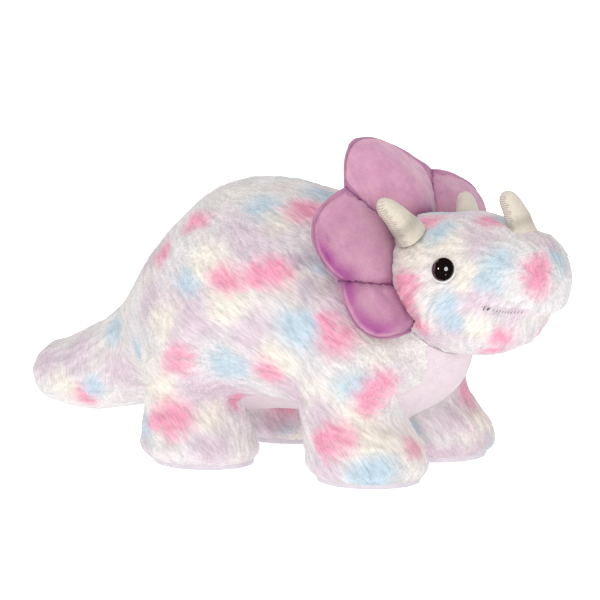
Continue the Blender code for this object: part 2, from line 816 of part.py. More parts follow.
def make_toy():
    room = []
    legs = (
        ("front", FRONT_LEG_X, FRONT_LEG_OUT, FRONT_LEG_STATIONS),
        ("hind", HIND_LEG_X, HIND_LEG_OUT, HIND_LEG_STATIONS),
    )
    for end, x, out, stations in legs:
        for word, side in (("left", 1), ("right", -1)):
            y = side * out
            make_leg(end + "_" + word, stations, x, y)
            body = leg_body(stations, x, y)
            turns = spread((-LEG_SWING, 0.0, LEG_SWING), Vector((x, y, HIP_HEIGHT)), "Y")
            room.append(swept_hull("leg_room_" + end + "_" + word, body, turns, MOVING_GAP))
            body.free()
    tail = tail_body()
    turns = spread((-TAIL_SWING, 0.0, TAIL_SWING), TAIL_PIVOT, "Z")
    room.append(swept_hull("tail_room", tail, turns, MOVING_GAP))
    tail.free()
    head = head_body()
    turns = []
    for turn in spread((-HEAD_TURN, 0.0, HEAD_TURN), HEAD_PIVOT, "Z"):
        nods = spread((HEAD_NOD[0], 0.0, HEAD_NOD[1]), HEAD_PIVOT, "Y")
        turns += [turn @ nod for nod in nods]
    room.append(swept_hull("head_room", head, turns, MOVING_GAP))
    head.free()
    room.append(add_cutter("neck_room", ball(HEAD_PIVOT, NECK_POCKET)))
    make_torso(room)
    make_neck()
    make_tail()
    make_head()
    head = head_body()
    head_room = add_cutter("horn_trim", moved_inwards(head, -TRIM_GAP))
    head.free()
    for word, side in (("left", 1), ("right", -1)):
        flip = Matrix.Diagonal((1.0, side, 1.0)).to_3x3()
        base, tip, bend = (flip @ point for point in (BROW_BASE, BROW_TIP, BROW_BEND))
        make_horn("brow_horn_" + word, base, tip, bend, BROW_RADII, head_room)
    make_horn("nose_horn", NOSE_BASE, NOSE_TIP, NOSE_BEND, NOSE_RADII, head_room)
    make_frill()


clear_scene()
pieces = add_collection(TOY_NAME)
cutters = add_collection(TOY_NAME + "_cutters")
make_toy()
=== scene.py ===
"""The looks of the stuffed triceratops: tie-dyed plush fur over smooth velour, a quilted
frill, velour horns and glossy safety eyes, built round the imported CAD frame.

Metres, +X towards the nose, +Y towards the animal's left, +Z up. Each furry body is a
fine loft whose surface is raised in tufts along the pile, with strands grown on it.
"""

import math

import bmesh
import bpy
import numpy as np
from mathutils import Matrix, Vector
from mathutils.bvhtree import BVHTree
from mathutils.kdtree import KDTree


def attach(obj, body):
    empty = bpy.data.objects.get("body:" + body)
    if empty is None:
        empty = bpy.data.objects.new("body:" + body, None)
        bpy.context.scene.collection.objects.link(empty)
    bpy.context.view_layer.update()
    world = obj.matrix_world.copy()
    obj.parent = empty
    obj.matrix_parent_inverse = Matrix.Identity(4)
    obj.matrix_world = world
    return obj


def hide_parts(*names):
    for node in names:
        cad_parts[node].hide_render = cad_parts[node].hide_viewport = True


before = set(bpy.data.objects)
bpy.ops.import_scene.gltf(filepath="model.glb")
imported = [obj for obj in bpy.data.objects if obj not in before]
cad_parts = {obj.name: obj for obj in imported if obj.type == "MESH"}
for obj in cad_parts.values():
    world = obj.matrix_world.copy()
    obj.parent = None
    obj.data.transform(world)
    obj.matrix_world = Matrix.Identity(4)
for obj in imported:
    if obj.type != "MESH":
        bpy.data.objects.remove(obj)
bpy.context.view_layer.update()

MM = 0.001

# ---------------------------------------------------------------- dimensions

# A lengthwise station is (x, centre height, half height, half width)
TORSO = (
    (-0.117, 0.072, 0.028, 0.028),
    (-0.100, 0.071, 0.037, 0.040),
    (-0.080, 0.0785, 0.0500, 0.052),
    (-0.050, 0.0897, 0.0653, 0.067),
    (-0.015, 0.0930, 0.0675, 0.073),
    (0.020, 0.0904, 0.0633, 0.073),
    (0.050, 0.085, 0.058, 0.067),
    (0.075, 0.076, 0.046, 0.058),
    (0.095, 0.0668, 0.0280, 0.043),
    (0.108, 0.0655, 0.0200, 0.029),
)
TORSO_CAPS = (0.036, 0.024)
TAIL = (
    (-0.1810, 0.0320, 0.0150, 0.0160),
    (-0.160, 0.0340, 0.0205, 0.0205),
    (-0.135, 0.0398, 0.0272, 0.0265),
    (-0.115, 0.0470, 0.0308, 0.0295),
    (-0.098, 0.050, 0.030, 0.030),
    (-0.068, 0.050, 0.030, 0.030),
)
TAIL_CAPS = (0.014, 0.030)
HEAD = (
    (0.039, 0.111, 0.039, 0.039),
    (0.078, 0.111, 0.039, 0.039),
    (0.095, 0.1107, 0.0403, 0.043),
    (0.118, 0.1115, 0.042, 0.0435),
    (0.136, 0.1115, 0.0395, 0.0395),
    (0.150, 0.1125, 0.0345, 0.034),
    (0.163, 0.115, 0.030, 0.030),
    (0.1765, 0.119, 0.024, 0.024),
)
HEAD_CAPS = (0.039, 0.020)
HEAD_PIVOT = Vector((0.078, 0.0, 0.111))

# A leg station is (height, forward shift, half length, half width)
HIP_HEIGHT = 0.058
LEG_RADIUS = 0.029
FRONT_LEG = (
    (0.000, 0.0055, 0.0300, 0.027),
    (0.006, 0.0050, 0.0355, 0.032),
    (0.018, 0.0030, 0.0362, 0.0325),
    (0.027, -0.0010, 0.0335, 0.032),
    (0.037, -0.0070, 0.0285, 0.030),
    (HIP_HEIGHT, -0.0080, 0.0275, 0.0285),
    (HIP_HEIGHT + LEG_RADIUS, -0.0080, 0.0275, 0.0285),
)
# The left foreleg stands a little further back than its pair, and is slacker
SLACK_LEG = (
    (0.000, -0.003, 0.029, 0.027),
    (0.006, -0.003, 0.0345, 0.032),
    (0.018, -0.0035, 0.0345, 0.032),
    (0.036, -0.0105, 0.0265, 0.0285),
    (HIP_HEIGHT, -0.012, 0.0245, 0.027),
    (HIP_HEIGHT + LEG_RADIUS, -0.012, 0.0245, 0.027),
)
HIND_LEG = (
    (0.000, 0.0050, 0.0290, 0.026),
    (0.006, 0.0030, 0.0345, 0.032),
    (0.018, 0.0005, 0.0335, 0.032),
    (0.036, -0.0045, 0.0265, 0.0285),
    (HIP_HEIGHT, -0.0030, 0.0275, 0.0285),
    (HIP_HEIGHT + LEG_RADIUS, -0.0030, 0.0275, 0.0285),
)
LEG_CAPS = (0.0, LEG_RADIUS)
LENGTHWISE = {"torso": (TORSO, TORSO_CAPS), "tail": (TAIL, TAIL_CAPS), "head": (HEAD, HEAD_CAPS)}
LEGS = {
    "front_left": (SLACK_LEG, 0.067, 0.044),
    "front_right": (FRONT_LEG, 0.067, -0.044),
    "hind_left": (HIND_LEG, -0.042, 0.046),
    "hind_right": (HIND_LEG, -0.042, -0.046),
}
SOLE_TOP = 0.0015

# The velour underside, which runs askew at the throat: (x, half width, top edge height,
# middle of its width)
BELLY = (
    (-0.094, 0.012, 0.045, 0.0),
    (-0.060, 0.021, 0.050, 0.0),
    (-0.030, 0.038, 0.050, 0.0),
    (-0.010, 0.046, 0.050, 0.0),
    (0.040, 0.046, 0.055, 0.0),
    (0.060, 0.047, 0.060, 0.0),
    (0.078, 0.050, 0.070, 0.0),
    (0.090, 0.047, 0.080, 0.001),
    (0.098, 0.0385, 0.095, 0.0105),
    (0.125, 0.034, 0.100, 0.012),
)

GRAIN = 1.3 * MM  # spacing of a furry body's vertices
FINE_GRAIN = 1.0 * MM
FILLET = 15 * MM
LEG_FILLET = 19 * MM
SLACK_FILLET = 13 * MM
FILLING_INSET = 3.6 * MM
HEAD_FILLING_INSET = 6 * MM

FUR_INSET = 1.1 * MM  # the cloth lies this far under the tips of its pile
PANEL_INSET = 0.7 * MM  # velour panels lie under the fur's edge by this much
PANEL_TUCK = 6.5 * MM
PANEL_LAP = 1.5 * MM  # the fur's edge covers this much of a panel
SOLE_TUCK = 3.0 * MM
SOLE_LAP = 0.8 * MM
PILE = 6.5 * MM
STRANDS_PER_M2 = 3.4e6
STRAND_RADIUS = 0.13 * MM


# ---------------------------------------------------------------- numbers and noise


def ramp(low, high, value):
    """0 below low, 1 above high, smooth between."""
    t = np.clip((np.asarray(value, float) - low) / (high - low), 0.0, 1.0)
    return t * t * (3.0 - 2.0 * t)


def linear(red, green, blue):
    """A display colour from 0 to 255 as linear light."""
    c = np.array([red, green, blue], float) / 255.0
    return np.where(c <= 0.04045, c / 12.92, ((c + 0.055) / 1.055) ** 2.4)


def lattice(cells, seed):
    """A value from -1 to 1 for each cell of whole numbers."""
    n = cells[..., 0] * 73856093 ^ cells[..., 1] * 19349663 ^ cells[..., 2] * 83492791
    n = (n ^ (seed * 40503)) & 0x7FFFFFFF
    n = ((n >> 13) ^ n) * 1274126177 & 0x7FFFFFFF
    n = ((n >> 16) ^ n) * 668265263 & 0x7FFFFFFF
    return (n & 0xFFFF) / 32767.5 - 1.0


def noise(points, size, seed):
    """Smooth value noise from -1 to 1 whose bumps are about size wide."""
    p = np.asarray(points, float) / size
    cell = np.floor(p).astype(np.int64)
    f = p - cell
    f = f * f * (3.0 - 2.0 * f)
    total = np.zeros(p.shape[:-1])
    for corner in np.ndindex(2, 2, 2):
        corner = np.array(corner)
        weight = np.prod(np.where(corner, f, 1.0 - f), axis=-1)
        total += weight * lattice(cell + corner, seed)
    return total


def noise_vector(points, size, seed):
    return np.stack([noise(points, size, seed + 7 * i) for i in range(3)], axis=-1)


def streaks(points, comb, width, reach, seed):
    """Noise smeared along the comb direction: from about -1 to 1, in tufts of that reach."""
    steps = 7
    total = np.zeros(len(points))
    for place in np.linspace(-0.5, 0.5, steps):
        total += noise(points + comb * (place * reach), width, seed)
    return total / math.sqrt(steps)


def unit(vectors):
    return vectors / np.maximum(np.linalg.norm(vectors, axis=-1, keepdims=True), 1e-12)


# ---------------------------------------------------------------- lofts


def station_values(stations, places):
    """The stations' values at each place, smoothly interpolated."""
    table = np.array(stations, float)
    at = table[:, 0]
    values = table[:, 1:]
    slopes = np.gradient(values, at, axis=0)
    places = np.clip(places, at[0], at[-1])
    i = np.clip(np.searchsorted(at, places) - 1, 0, len(at) - 2)
    span = (at[i + 1] - at[i])[..., None]
    t = (places - at[i])[..., None] / span
    start = (2 * t**3 - 3 * t**2 + 1) * values[i] + (t**3 - 2 * t**2 + t) * span * slopes[i]
    end = (3 * t**2 - 2 * t**3) * values[i + 1] + (t**3 - t**2) * span * slopes[i + 1]
    return start + end


def cap_factor(stations, caps, places):
    """How much of the full section is left in the round ends."""
    factor = np.ones_like(places)
    for end, cap in ((stations[0][0], caps[0]), (stations[-1][0], caps[1])):
        if cap > 0:
            inside = np.clip(np.abs(places - end) / cap, 0.0, 1.0)
            factor = np.minimum(factor, np.sqrt(1.0 - (1.0 - inside) ** 2))
    return factor


def ring_places(stations, caps, grain):
    """Places of the rings: even, and closer together towards the round ends."""
    start, end = stations[0][0], stations[-1][0]
    low, high = start + caps[0], end - caps[1]
    places = [np.linspace(low, high, max(2, round((high - low) / grain)))]
    for origin, cap, sign in ((start, caps[0], 1), (end, caps[1], -1)):
        if cap > 0:
            steps = round(1.5 * cap / grain)
            turns = 0.5 * math.pi * np.arange(1, steps) / steps
            places.append(origin + sign * cap * (1 - np.cos(turns)))
    return np.sort(np.concatenate(places))


def loft_distance(stations, caps, along, across, up):
    """Roughly how far points are outside a loft. up is measured from the same origin as
    the stations' centres."""
    centre, high, wide = np.moveaxis(station_values(stations, along), -1, 0)
    factor = np.maximum(cap_factor(stations, caps, along), 0.05)
    beyond = np.maximum(stations[0][0] - along, along - stations[-1][0])
    reach = np.hypot(across / (wide * factor), (up - centre) / (high * factor)) - 1.0
    inside = reach * np.minimum(high, wide) * factor
    return np.where(beyond > 0, np.hypot(np.maximum(inside, 0), beyond), inside)


def body_distance(name, p):
    """Roughly how far points are outside the torso, the tail, the head or a leg."""
    if name in LENGTHWISE:
        return loft_distance(*LENGTHWISE[name], p[:, 0], p[:, 1], p[:, 2])
    stations, x, y = LEGS[name]
    return loft_distance(stations, LEG_CAPS, p[:, 2], p[:, 1] - y, p[:, 0] - x)


def tree_of(grid):
    faces = [tuple(map(int, f)) for f in (*grid.quads, *grid.triangles)]
    return BVHTree.FromPolygons([tuple(p) for p in grid.points], faces)


class Grid:
    """A closed loft as rings of points with a pole at each end. Row and column of a
    vertex follow from its number: poles come last."""

    def __init__(self, points):
        rows, columns = points.shape[:2]
        self.rows, self.columns = rows, columns
        poles = points[[0, -1]].mean(axis=1)
        self.points = np.concatenate([points.reshape(-1, 3), poles])
        row, column = np.meshgrid(np.arange(rows - 1), np.arange(columns), indexing="ij")
        after = (column + 1) % columns
        corners = [row * columns + column, row * columns + after]
        corners += [(row + 1) * columns + after, (row + 1) * columns + column]
        self.quads = np.stack(corners, axis=-1).reshape(-1, 4)
        ring = np.arange(columns)
        after = (ring + 1) % columns
        last = (rows - 1) * columns
        first_pole, last_pole = rows * columns, rows * columns + 1
        first = np.stack([after, ring, np.full(columns, first_pole)], axis=-1)
        final = np.stack([last + ring, last + after, np.full(columns, last_pole)], axis=-1)
        self.triangles = np.concatenate([first, final])
        if self.volume() < 0:
            self.quads = self.quads[:, ::-1]
            self.triangles = self.triangles[:, ::-1]

    def volume(self):
        """Six times the volume: negative if the faces point inwards."""
        first, second = self.quads[:, :3], self.quads[:, [0, 2, 3]]
        corners = self.points[np.concatenate([first, second, self.triangles])]
        crossed = np.cross(corners[:, 1], corners[:, 2])
        return np.einsum("ij,ij->", corners[:, 0], crossed)

    def moved(self, points):
        other = Grid.__new__(Grid)
        other.__dict__.update(self.__dict__)
        other.points = points
        return other

    def normals(self):
        p = self.points
        total = np.zeros_like(p)
        for faces, (a, b, c, d) in ((self.quads, (0, 2, 1, 3)), (self.triangles, (0, 1, 0, 2))):
            face = np.cross(p[faces[:, b]] - p[faces[:, a]], p[faces[:, d]] - p[faces[:, c]])
            for corner in faces.T:
                np.add.at(total, corner, face)
        return unit(total)


def loft_rings(stations, caps, grain):
    """Places of the rings, the loft's centre and two half sizes there, and the angles of
    a ring's points."""
    at = ring_places(stations, caps, grain)
    widest = max(max(s[2], s[3]) for s in stations)
    columns = 4 * round(0.5 * math.pi * widest / grain)
    centre, high, wide = np.moveaxis(station_values(stations, at), -1, 0)
    factor = cap_factor(stations, caps, at)
    return at, centre, high * factor, wide * factor, 2 * math.pi * np.arange(columns) / columns


def lengthwise_grid(stations, caps, grain):
    """A loft along X. Column 0 is the top and the columns run towards the left side."""
    x, centre, high, wide, angle = loft_rings(stations, caps, grain)
    points = np.empty((len(x), len(angle), 3))
    points[..., 0] = x[:, None]
    points[..., 1] = wide[:, None] * np.sin(angle)
    points[..., 2] = centre[:, None] + high[:, None] * np.cos(angle)
    return Grid(points)


def upright_grid(stations, x, y, grain):
    """A loft along Z with a flat bottom, closed by rings that run in to its middle."""
    z, shift, long, wide, angle = loft_rings(stations, LEG_CAPS, grain)
    bottom = np.linspace(0.06, 0.96, round(stations[0][2] / grain))
    level = np.ones(len(bottom))
    z, shift, long, wide = (
        np.concatenate([part * values[0], values])
        for part, values in ((level, z), (level, shift), (bottom, long), (bottom, wide))
    )
    points = np.empty((len(z), len(angle), 3))
    points[..., 0] = x + shift[:, None] + long[:, None] * np.sin(angle)
    points[..., 1] = y + wide[:, None] * np.cos(angle)
    points[..., 2] = z[:, None]
    return Grid(points)


def body_grid(name, grain):
    """The torso, the tail, the head or a leg as a closed loft with points this far apart."""
    if name in LENGTHWISE:
        return lengthwise_grid(*LENGTHWISE[name], grain)
    return upright_grid(*LEGS[name], grain)


def head_section(x):
    """Centre height, half height and half width of the head at x, and how much of it the
    round ends leave."""
    factor = cap_factor(HEAD, HEAD_CAPS, np.array([x]))[0]
    return (*station_values(HEAD, np.array(x)), float(factor))


# ---------------------------------------------------------------- dye

DYES_AND_PAINTED_SHADOW = {
    "white": linear(236, 231, 232),
    "cream": linear(247, 239, 225),
    "pink": linear(246, 160, 189),
    "blue": linear(193, 216, 229),
    "lavender": linear(223, 202, 215),
    # Not a dye: a grey-mauve painted shadow that the frill casts on the body
    "dusk": linear(190, 176, 192),
}
DYE_STRENGTH = {"dusk": 0.75, "pink": 0.92, "blue": 0.9, "lavender": 0.85, "cream": 0.85}
NEXT_DYE = {
    "dusk": "lavender", "pink": "blue", "blue": "cream", "cream": "lavender", "lavender": "pink",
}


def listed(*groups):
    """Spots of the right side, one by one, from groups of one dye and its places."""
    return [(dye, *spot) for dye, *spots in groups for spot in spots]


# A dye or the painted frill shadow, then its spots on the right side: (x, z, radius), in
# millimetres
TORSO_SPOTS = listed(
    ("lavender", (-1, 133, 20), (-29, 90, 18), (13, 83, 15), (60, 106, 14), (33, 50, 14),
        (-67, 93, 14), (-78, 114, 13), (45, 138, 13), (-20, 45, 14)),
    ("cream", (-22, 122, 15), (-8, 98, 13), (40, 112, 16), (-52, 84, 13), (26, 70, 12),
        (8, 146, 12)),
    ("blue", (-5, 151, 12), (-37, 108, 9), (41, 89, 15), (-9, 62, 11), (-79, 62, 10),
        (48, 124, 10)),
    ("pink", (-42, 141, 10), (-63, 119, 9), (-9, 113, 10), (8, 116, 9), (21, 119, 12),
        (20, 149, 12), (36, 145, 9), (17, 60, 11), (64, 84, 12), (56, 94, 7)),
    # The frill's painted shadow on the body, not a dye
    ("dusk", (43, 110, 10), (33, 127, 8)),
)
HEAD_SPOTS = listed(
    ("lavender", (134, 142, 11), (141, 108, 12), (124, 92, 11), (167, 140, 9), (160, 98, 9),
        (104, 84, 10)),
    ("cream", (97, 132, 12), (116, 140, 11), (156, 146, 10), (138, 92, 10), (134, 122, 9)),
    ("blue", (148, 131, 10), (147, 120, 8), (122, 106, 9), (125, 95, 8), (108, 145, 10)),
    ("pink", (97, 115, 9), (97, 104, 9), (101, 92, 7), (168, 128, 9), (171, 119, 9), (148, 86, 8),
        (132, 151, 8), (92, 148, 10), (138, 76, 7)),
)
TAIL_SPOTS = listed(
    ("lavender", (-138, 50, 14), (-104, 44, 14), (-165, 40, 10)),
    ("blue", (-110, 66, 10)),
    ("pink", (-136, 24, 10)),
    ("cream", (-150, 30, 11)),
    ("blue", (-124, 30, 8)),
)
FRONT_LEG_SPOTS = listed(
    ("cream", (92, 27, 12), (80, 40, 12)),
    ("lavender", (56, 40, 12), (62, 9, 11)),
    ("blue", (77, 58, 11), (98, 12, 11), (88, 9, 10)),
    ("pink", (85, 57, 12), (81, 48, 9), (70, 28, 11), (60, 23, 9), (107, 24, 9)),
)
HIND_LEG_SPOTS = listed(
    ("lavender", (-17, 14, 13), (-30, 48, 10)),
    ("cream", (-52, 44, 11), (-22, 30, 9)),
    ("blue", (-10, 60, 11), (-62, 20, 9)),
    ("pink", (-38, 64, 11), (-41, 30, 13), (-14, 36, 5), (-54, 26, 7)),
)

# Spots on the inner faces of the left legs, seen between the right ones, the last three a lavender
# band along the bottom of the left forefoot: a point and a radius
INNER_SPOTS = (
    ("pink", (-20, 14, 24), 12), ("lavender", (-28, 14, 12), 12), ("blue", (-16, 12, 8), 8),
    ("pink", (84, 50, 40), 10), ("lavender", (80, 30, 24), 12), ("blue", (68, 14, 18), 6),
    ("pink", (88, 34, 14), 7), ("lavender", (94, 44, 10), 9),
    ("lavender", (80, 16, 3), 8), ("lavender", (89, 21, 3), 8), ("lavender", (98, 32, 3), 8),
)


SEARCH_REACH = 0.1
SEARCH_POINTS = 201


def spot_places(spots, side, body, y_axis=0.0):
    """Each spot's point on a body's surface. The left side wears the same spots with the
    dyes changed round and the places shifted."""
    rows = []
    out = np.linspace(0.0, SEARCH_REACH, SEARCH_POINTS)
    line = np.empty((SEARCH_POINTS, 3))
    for index, (dye, x, z, radius) in enumerate(spots):
        if side > 0:
            dye = NEXT_DYE[dye] if index % 3 else dye
            x += 9 * math.sin(2.4 * index)
            z += 6 * math.cos(1.7 * index)
        line[:, 0], line[:, 1], line[:, 2] = x * MM, y_axis + side * out, z * MM
        surface = out[np.argmin(np.abs(body_distance(body, line)))]
        rows.append((dye, (x * MM, y_axis + side * surface, z * MM), radius * MM))
    return rows


def dyed(points, comb, spots, seed):
    """The dye at each point: soft blots on white, their edges drawn out along the pile, with the
    frill's painted shadow among them.
    """
    warped = points + 3.2 * MM * noise_vector(points, 13 * MM, seed)
    warped += 1.6 * MM * noise_vector(points, 5 * MM, seed + 31)
    warped += comb * (2.2 * MM * streaks(points, comb, 1.3 * MM, 8 * MM, seed + 5))[:, None]
    cloud = 0.5 * ramp(-0.2, 0.75, noise(points, 26 * MM, seed + 50))[:, None]
    colour = DYES_AND_PAINTED_SHADOW["white"] * (1 - cloud) + DYES_AND_PAINTED_SHADOW["cream"] * cloud
    cloud = 0.55 * ramp(0.0, 0.8, noise(points, 21 * MM, seed + 60))[:, None]
    colour = colour * (1 - cloud) + DYES_AND_PAINTED_SHADOW["lavender"] * cloud
    mottle = streaks(points, comb, 1.4 * MM, 7 * MM, seed + 77)
    for dye, centre, radius in spots:
        away = np.linalg.norm((warped - np.array(centre)) * (1.0, 1.0, 1.15), axis=1)
        strength = 1.0 - ramp(0.25 * radius, 1.65 * radius, away)
        strength = np.clip(strength * (1.0 + 0.30 * mottle), 0.0, 1.0)
        strength = (DYE_STRENGTH[dye] * strength)[:, None]
        colour = colour * (1 - strength) + DYES_AND_PAINTED_SHADOW[dye] * strength
    return colour


# ---------------------------------------------------------------- meshes


def add_mesh(name, points, faces, material=None):
    mesh = bpy.data.meshes.new(name)
    mesh.from_pydata([tuple(p) for p in points], [], [tuple(map(int, f)) for f in faces])
    mesh.shade_smooth()
    mesh.update()
    piece = bpy.data.objects.new(name, mesh)
    bpy.context.scene.collection.objects.link(piece)
    if material:
        mesh.materials.append(material)
    return piece


def declare(piece, body, node):
    """What a piece rides on and the CAD node that it replaces."""
    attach(piece, body)
    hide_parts(node)


def set_attribute(piece, name, kind, values):
    attribute = piece.data.attributes.new(name, kind, "POINT")
    if kind == "FLOAT_COLOR":
        values = np.concatenate([values, np.ones((len(values), 1))], axis=1)
        attribute.data.foreach_set("color", values.astype(np.float32).ravel())
    elif kind == "FLOAT_VECTOR":
        attribute.data.foreach_set("vector", values.astype(np.float32).ravel())
    else:
        attribute.data.foreach_set("value", values.astype(np.float32))


def part_of(name, grid, material, keep=None, attributes=()):
    """A piece from the faces of a grid, or only from those whose corners are all kept."""
    if keep is None:
        keep = np.ones(len(grid.points), bool)
    faces = [f for f in grid.quads[keep[grid.quads].all(axis=1)]]
    faces += [f for f in grid.triangles[keep[grid.triangles].all(axis=1)]]
    used = np.unique(np.concatenate([np.ravel(f) for f in faces]))
    number = np.full(len(grid.points), -1)
    number[used] = np.arange(len(used))
    piece = add_mesh(name, grid.points[used], [number[f] for f in faces], material)
    for key, (kind, values) in dict(attributes).items():
        set_attribute(piece, key, kind, values[used])
    return piece


# ---------------------------------------------------------------- materials


class Tree:
    """Short calls for building nodes."""

    def __init__(self, tree):
        self.tree = tree

    def feed(self, socket, source):
        if isinstance(source, bpy.types.NodeSocket):
            self.tree.links.new(source, socket)
        else:
            socket.default_value = source

    def feed_all(self, node, inputs):
        for key, value in dict(inputs).items():
            self.feed(node.inputs[key], value)

    def add(self, kind, inputs=(), **settings):
        node = self.tree.nodes.new(kind)
        for key, value in settings.items():
            setattr(node, key, value)
        self.feed_all(node, inputs)
        return node

    def math(self, operation, first, second=0.0):
        return self.add("ShaderNodeMath", {0: first, 1: second}, operation=operation).outputs[0]

    def times(self, first, *others):
        for other in others:
            first = self.math("MULTIPLY", first, other)
        return first

    def plus(self, first, second):
        return self.math("ADD", first, second)


class Nodes(Tree):
    """A material's nodes."""

    def __init__(self, name):
        self.material = bpy.data.materials.new(name)
        self.material.use_nodes = True
        super().__init__(self.material.node_tree)
        self.shader = self.tree.nodes["Principled BSDF"]

    def attribute(self, name, output="Fac"):
        return self.add("ShaderNodeAttribute", attribute_name=name).outputs[output]

    def place(self):
        return self.add("ShaderNodeTexCoord").outputs["Object"]

    def noise(self, scale, detail=3.0, roughness=0.55, vector=None):
        vector = self.place() if vector is None else vector
        inputs = {"Vector": vector, "Scale": scale, "Detail": detail, "Roughness": roughness}
        return self.add("ShaderNodeTexNoise", inputs).outputs["Fac"]

    def spread(self, *numbers):
        """A value, its low and high ends, and what these two become."""
        return self.add("ShaderNodeMapRange", enumerate(numbers)).outputs[0]

    def mix(self, factor, first, second, blend="MIX"):
        inputs = {"Factor": factor, 6: first, 7: second}
        return self.add("ShaderNodeMix", inputs, data_type="RGBA", blend_type=blend).outputs[2]

    def tint(self, colour, amount):
        """The colour times a grey amount."""
        return self.mix(1.0, colour, amount, "MULTIPLY")

    def colour(self, source):
        self.feed(self.shader.inputs["Base Color"], source)

    def bump(self, height, strength, distance):
        inputs = {"Strength": strength, "Distance": distance, "Height": height}
        node = self.add("ShaderNodeBump", inputs)
        self.feed(self.shader.inputs["Normal"], node.outputs[0])

    def finish(self, roughness, sheen=0.0, sheen_roughness=0.5, specular=0.3):
        self.feed_all(self.shader, {
            "Roughness": roughness,
            "Sheen Weight": sheen,
            "Sheen Roughness": sheen_roughness,
            "Specular IOR Level": specular,
        })
        return self.material


def rgba(red, green, blue, share=1.0):
    """A display colour as a socket's value, darkened to a share of its light."""
    return (*[float(c) for c in linear(red, green, blue) * share], 1.0)


def fur_material():
    """The furry cloth under the strands: dye, painted shade darker in the hollows between tufts
    and hairs, fine pile bumps.
    """
    n = Nodes("fur")
    lay = n.attribute("lay", "Vector")
    hairs = n.noise(950.0, 3.0, 0.6, lay)
    fine = n.noise(2400.0, 2.0, 0.5, lay)
    # Painted shade: darker where the tufts and hairs are low, in the hollows of the pile
    shade = n.times(
        n.spread(n.attribute("tuft"), -0.9, 0.9, 0.87, 1.04),
        n.spread(hairs, 0.34, 0.62, 0.82, 1.04),
        n.spread(fine, 0.3, 0.7, 0.94, 1.02),
    )
    n.colour(n.tint(n.attribute("dye", "Color"), shade))
    n.bump(n.plus(hairs, n.times(fine, 0.4)), 0.7, 0.8 * MM)
    return n.finish(0.95, sheen=0.15, specular=0.15)


def strand_material():
    """One strand of the pile: its dye, a little darker at the root, where painted shade deep in
    the pile adds to the roots' own darker colour.
    """
    n = Nodes("fur_strand")
    # Darker towards the root: painted shade deep in the pile, with the roots' own darker colour
    amount = n.times(
        n.spread(n.attribute("tip"), 0.0, 0.75, 0.66, 1.04),
        n.spread(n.attribute("shade"), 0.0, 1.0, 0.82, 1.10),
    )
    n.colour(n.tint(n.attribute("dye", "Color"), amount))
    return n.finish(0.65, specular=0.25)


def velour_material(name, colour, dark, shadow_attribute=None):
    """Short velour: a soft nap with mottled brushing and a sheen."""
    n = Nodes(name)
    brushed = n.noise(110.0, 6.0, 0.72)
    nap = n.noise(1500.0, 3.0, 0.7)
    cloth = n.mix(n.spread(brushed, 0.35, 0.68, 0.0, 0.75), rgba(*colour), rgba(*dark))
    cloth = n.tint(cloth, n.spread(nap, 0.32, 0.68, 0.86, 1.07))
    if shadow_attribute:
        cloth = n.tint(cloth, n.attribute(shadow_attribute, "Color"))
    n.colour(cloth)
    n.bump(n.plus(nap, n.times(brushed, 0.6)), 0.35, 0.25 * MM)
    return n.finish(0.88, sheen=0.35, sheen_roughness=0.45, specular=0.2)


def fibre_material():
    """Loose polyester fibre filling."""
    n = Nodes("fibre_filling")
    inputs = {"Vector": n.place(), "Scale": (1.0, 2.6, 1.7)}
    lumps = n.noise(160.0, 5.0, 0.7, n.add("ShaderNodeMapping", inputs).outputs[0])
    n.colour(n.mix(lumps, rgba(250, 249, 246), rgba(216, 215, 212)))
    n.bump(lumps, 0.8, 2.0 * MM)
    return n.finish(0.9, sheen=0.2)


def plastic_material(name, colour, roughness, coat):
    """Moulded plastic with a faint unevenness in its gloss."""
    n = Nodes(name)
    uneven = n.noise(350.0)
    n.colour(n.mix(uneven, rgba(*colour), rgba(*colour, share=0.82)))
    n.feed_all(n.shader, {
        "Roughness": n.spread(uneven, 0.3, 0.7, roughness, roughness * 1.4),
        "Coat Weight": coat,
        "Coat Roughness": 0.02,
        "Coat IOR": 1.5 + 0.45 * coat,
        "Specular IOR Level": 0.5,
    })
    return n.material


def thread_material():
    n = Nodes("thread")
    twist = n.noise(3200.0, 2.0)
    n.colour(n.mix(twist, rgba(66, 58, 54), rgba(122, 110, 100)))
    n.bump(twist, 0.6, 0.1 * MM)
    return n.finish(0.7, sheen=0.2)


FUR = fur_material()
STRAND = strand_material()
FIBRE = fibre_material()
LILAC = velour_material("lilac_velour", (230, 216, 221), (216, 199, 208))
SOLE = velour_material("sole_velour", (220, 213, 220), (204, 196, 206))
MAUVE = velour_material("mauve_velour", (230, 174, 198), (208, 148, 178), "stain")
# The back sheet, which also forms the rim, is a darker copy of the front's velour: painted shade
MAUVE_SHADED_BACK = velour_material("mauve_velour_back", (206, 150, 180), (186, 124, 160), "stain")
HORN = velour_material("horn_velour", (226, 218, 205), (213, 204, 191), "stain")
THREAD = thread_material()
EYE_BLACK = plastic_material("eye_black", (26, 20, 18), 0.04, 1.0)
EYE_WHITE = plastic_material("eye_white", (250, 250, 250), 0.3, 0.2)
WASHER = plastic_material("washer_plastic", (235, 236, 232), 0.35, 0.0)


# ---------------------------------------------------------------- fur strands


VECTOR = "FLOAT_VECTOR"


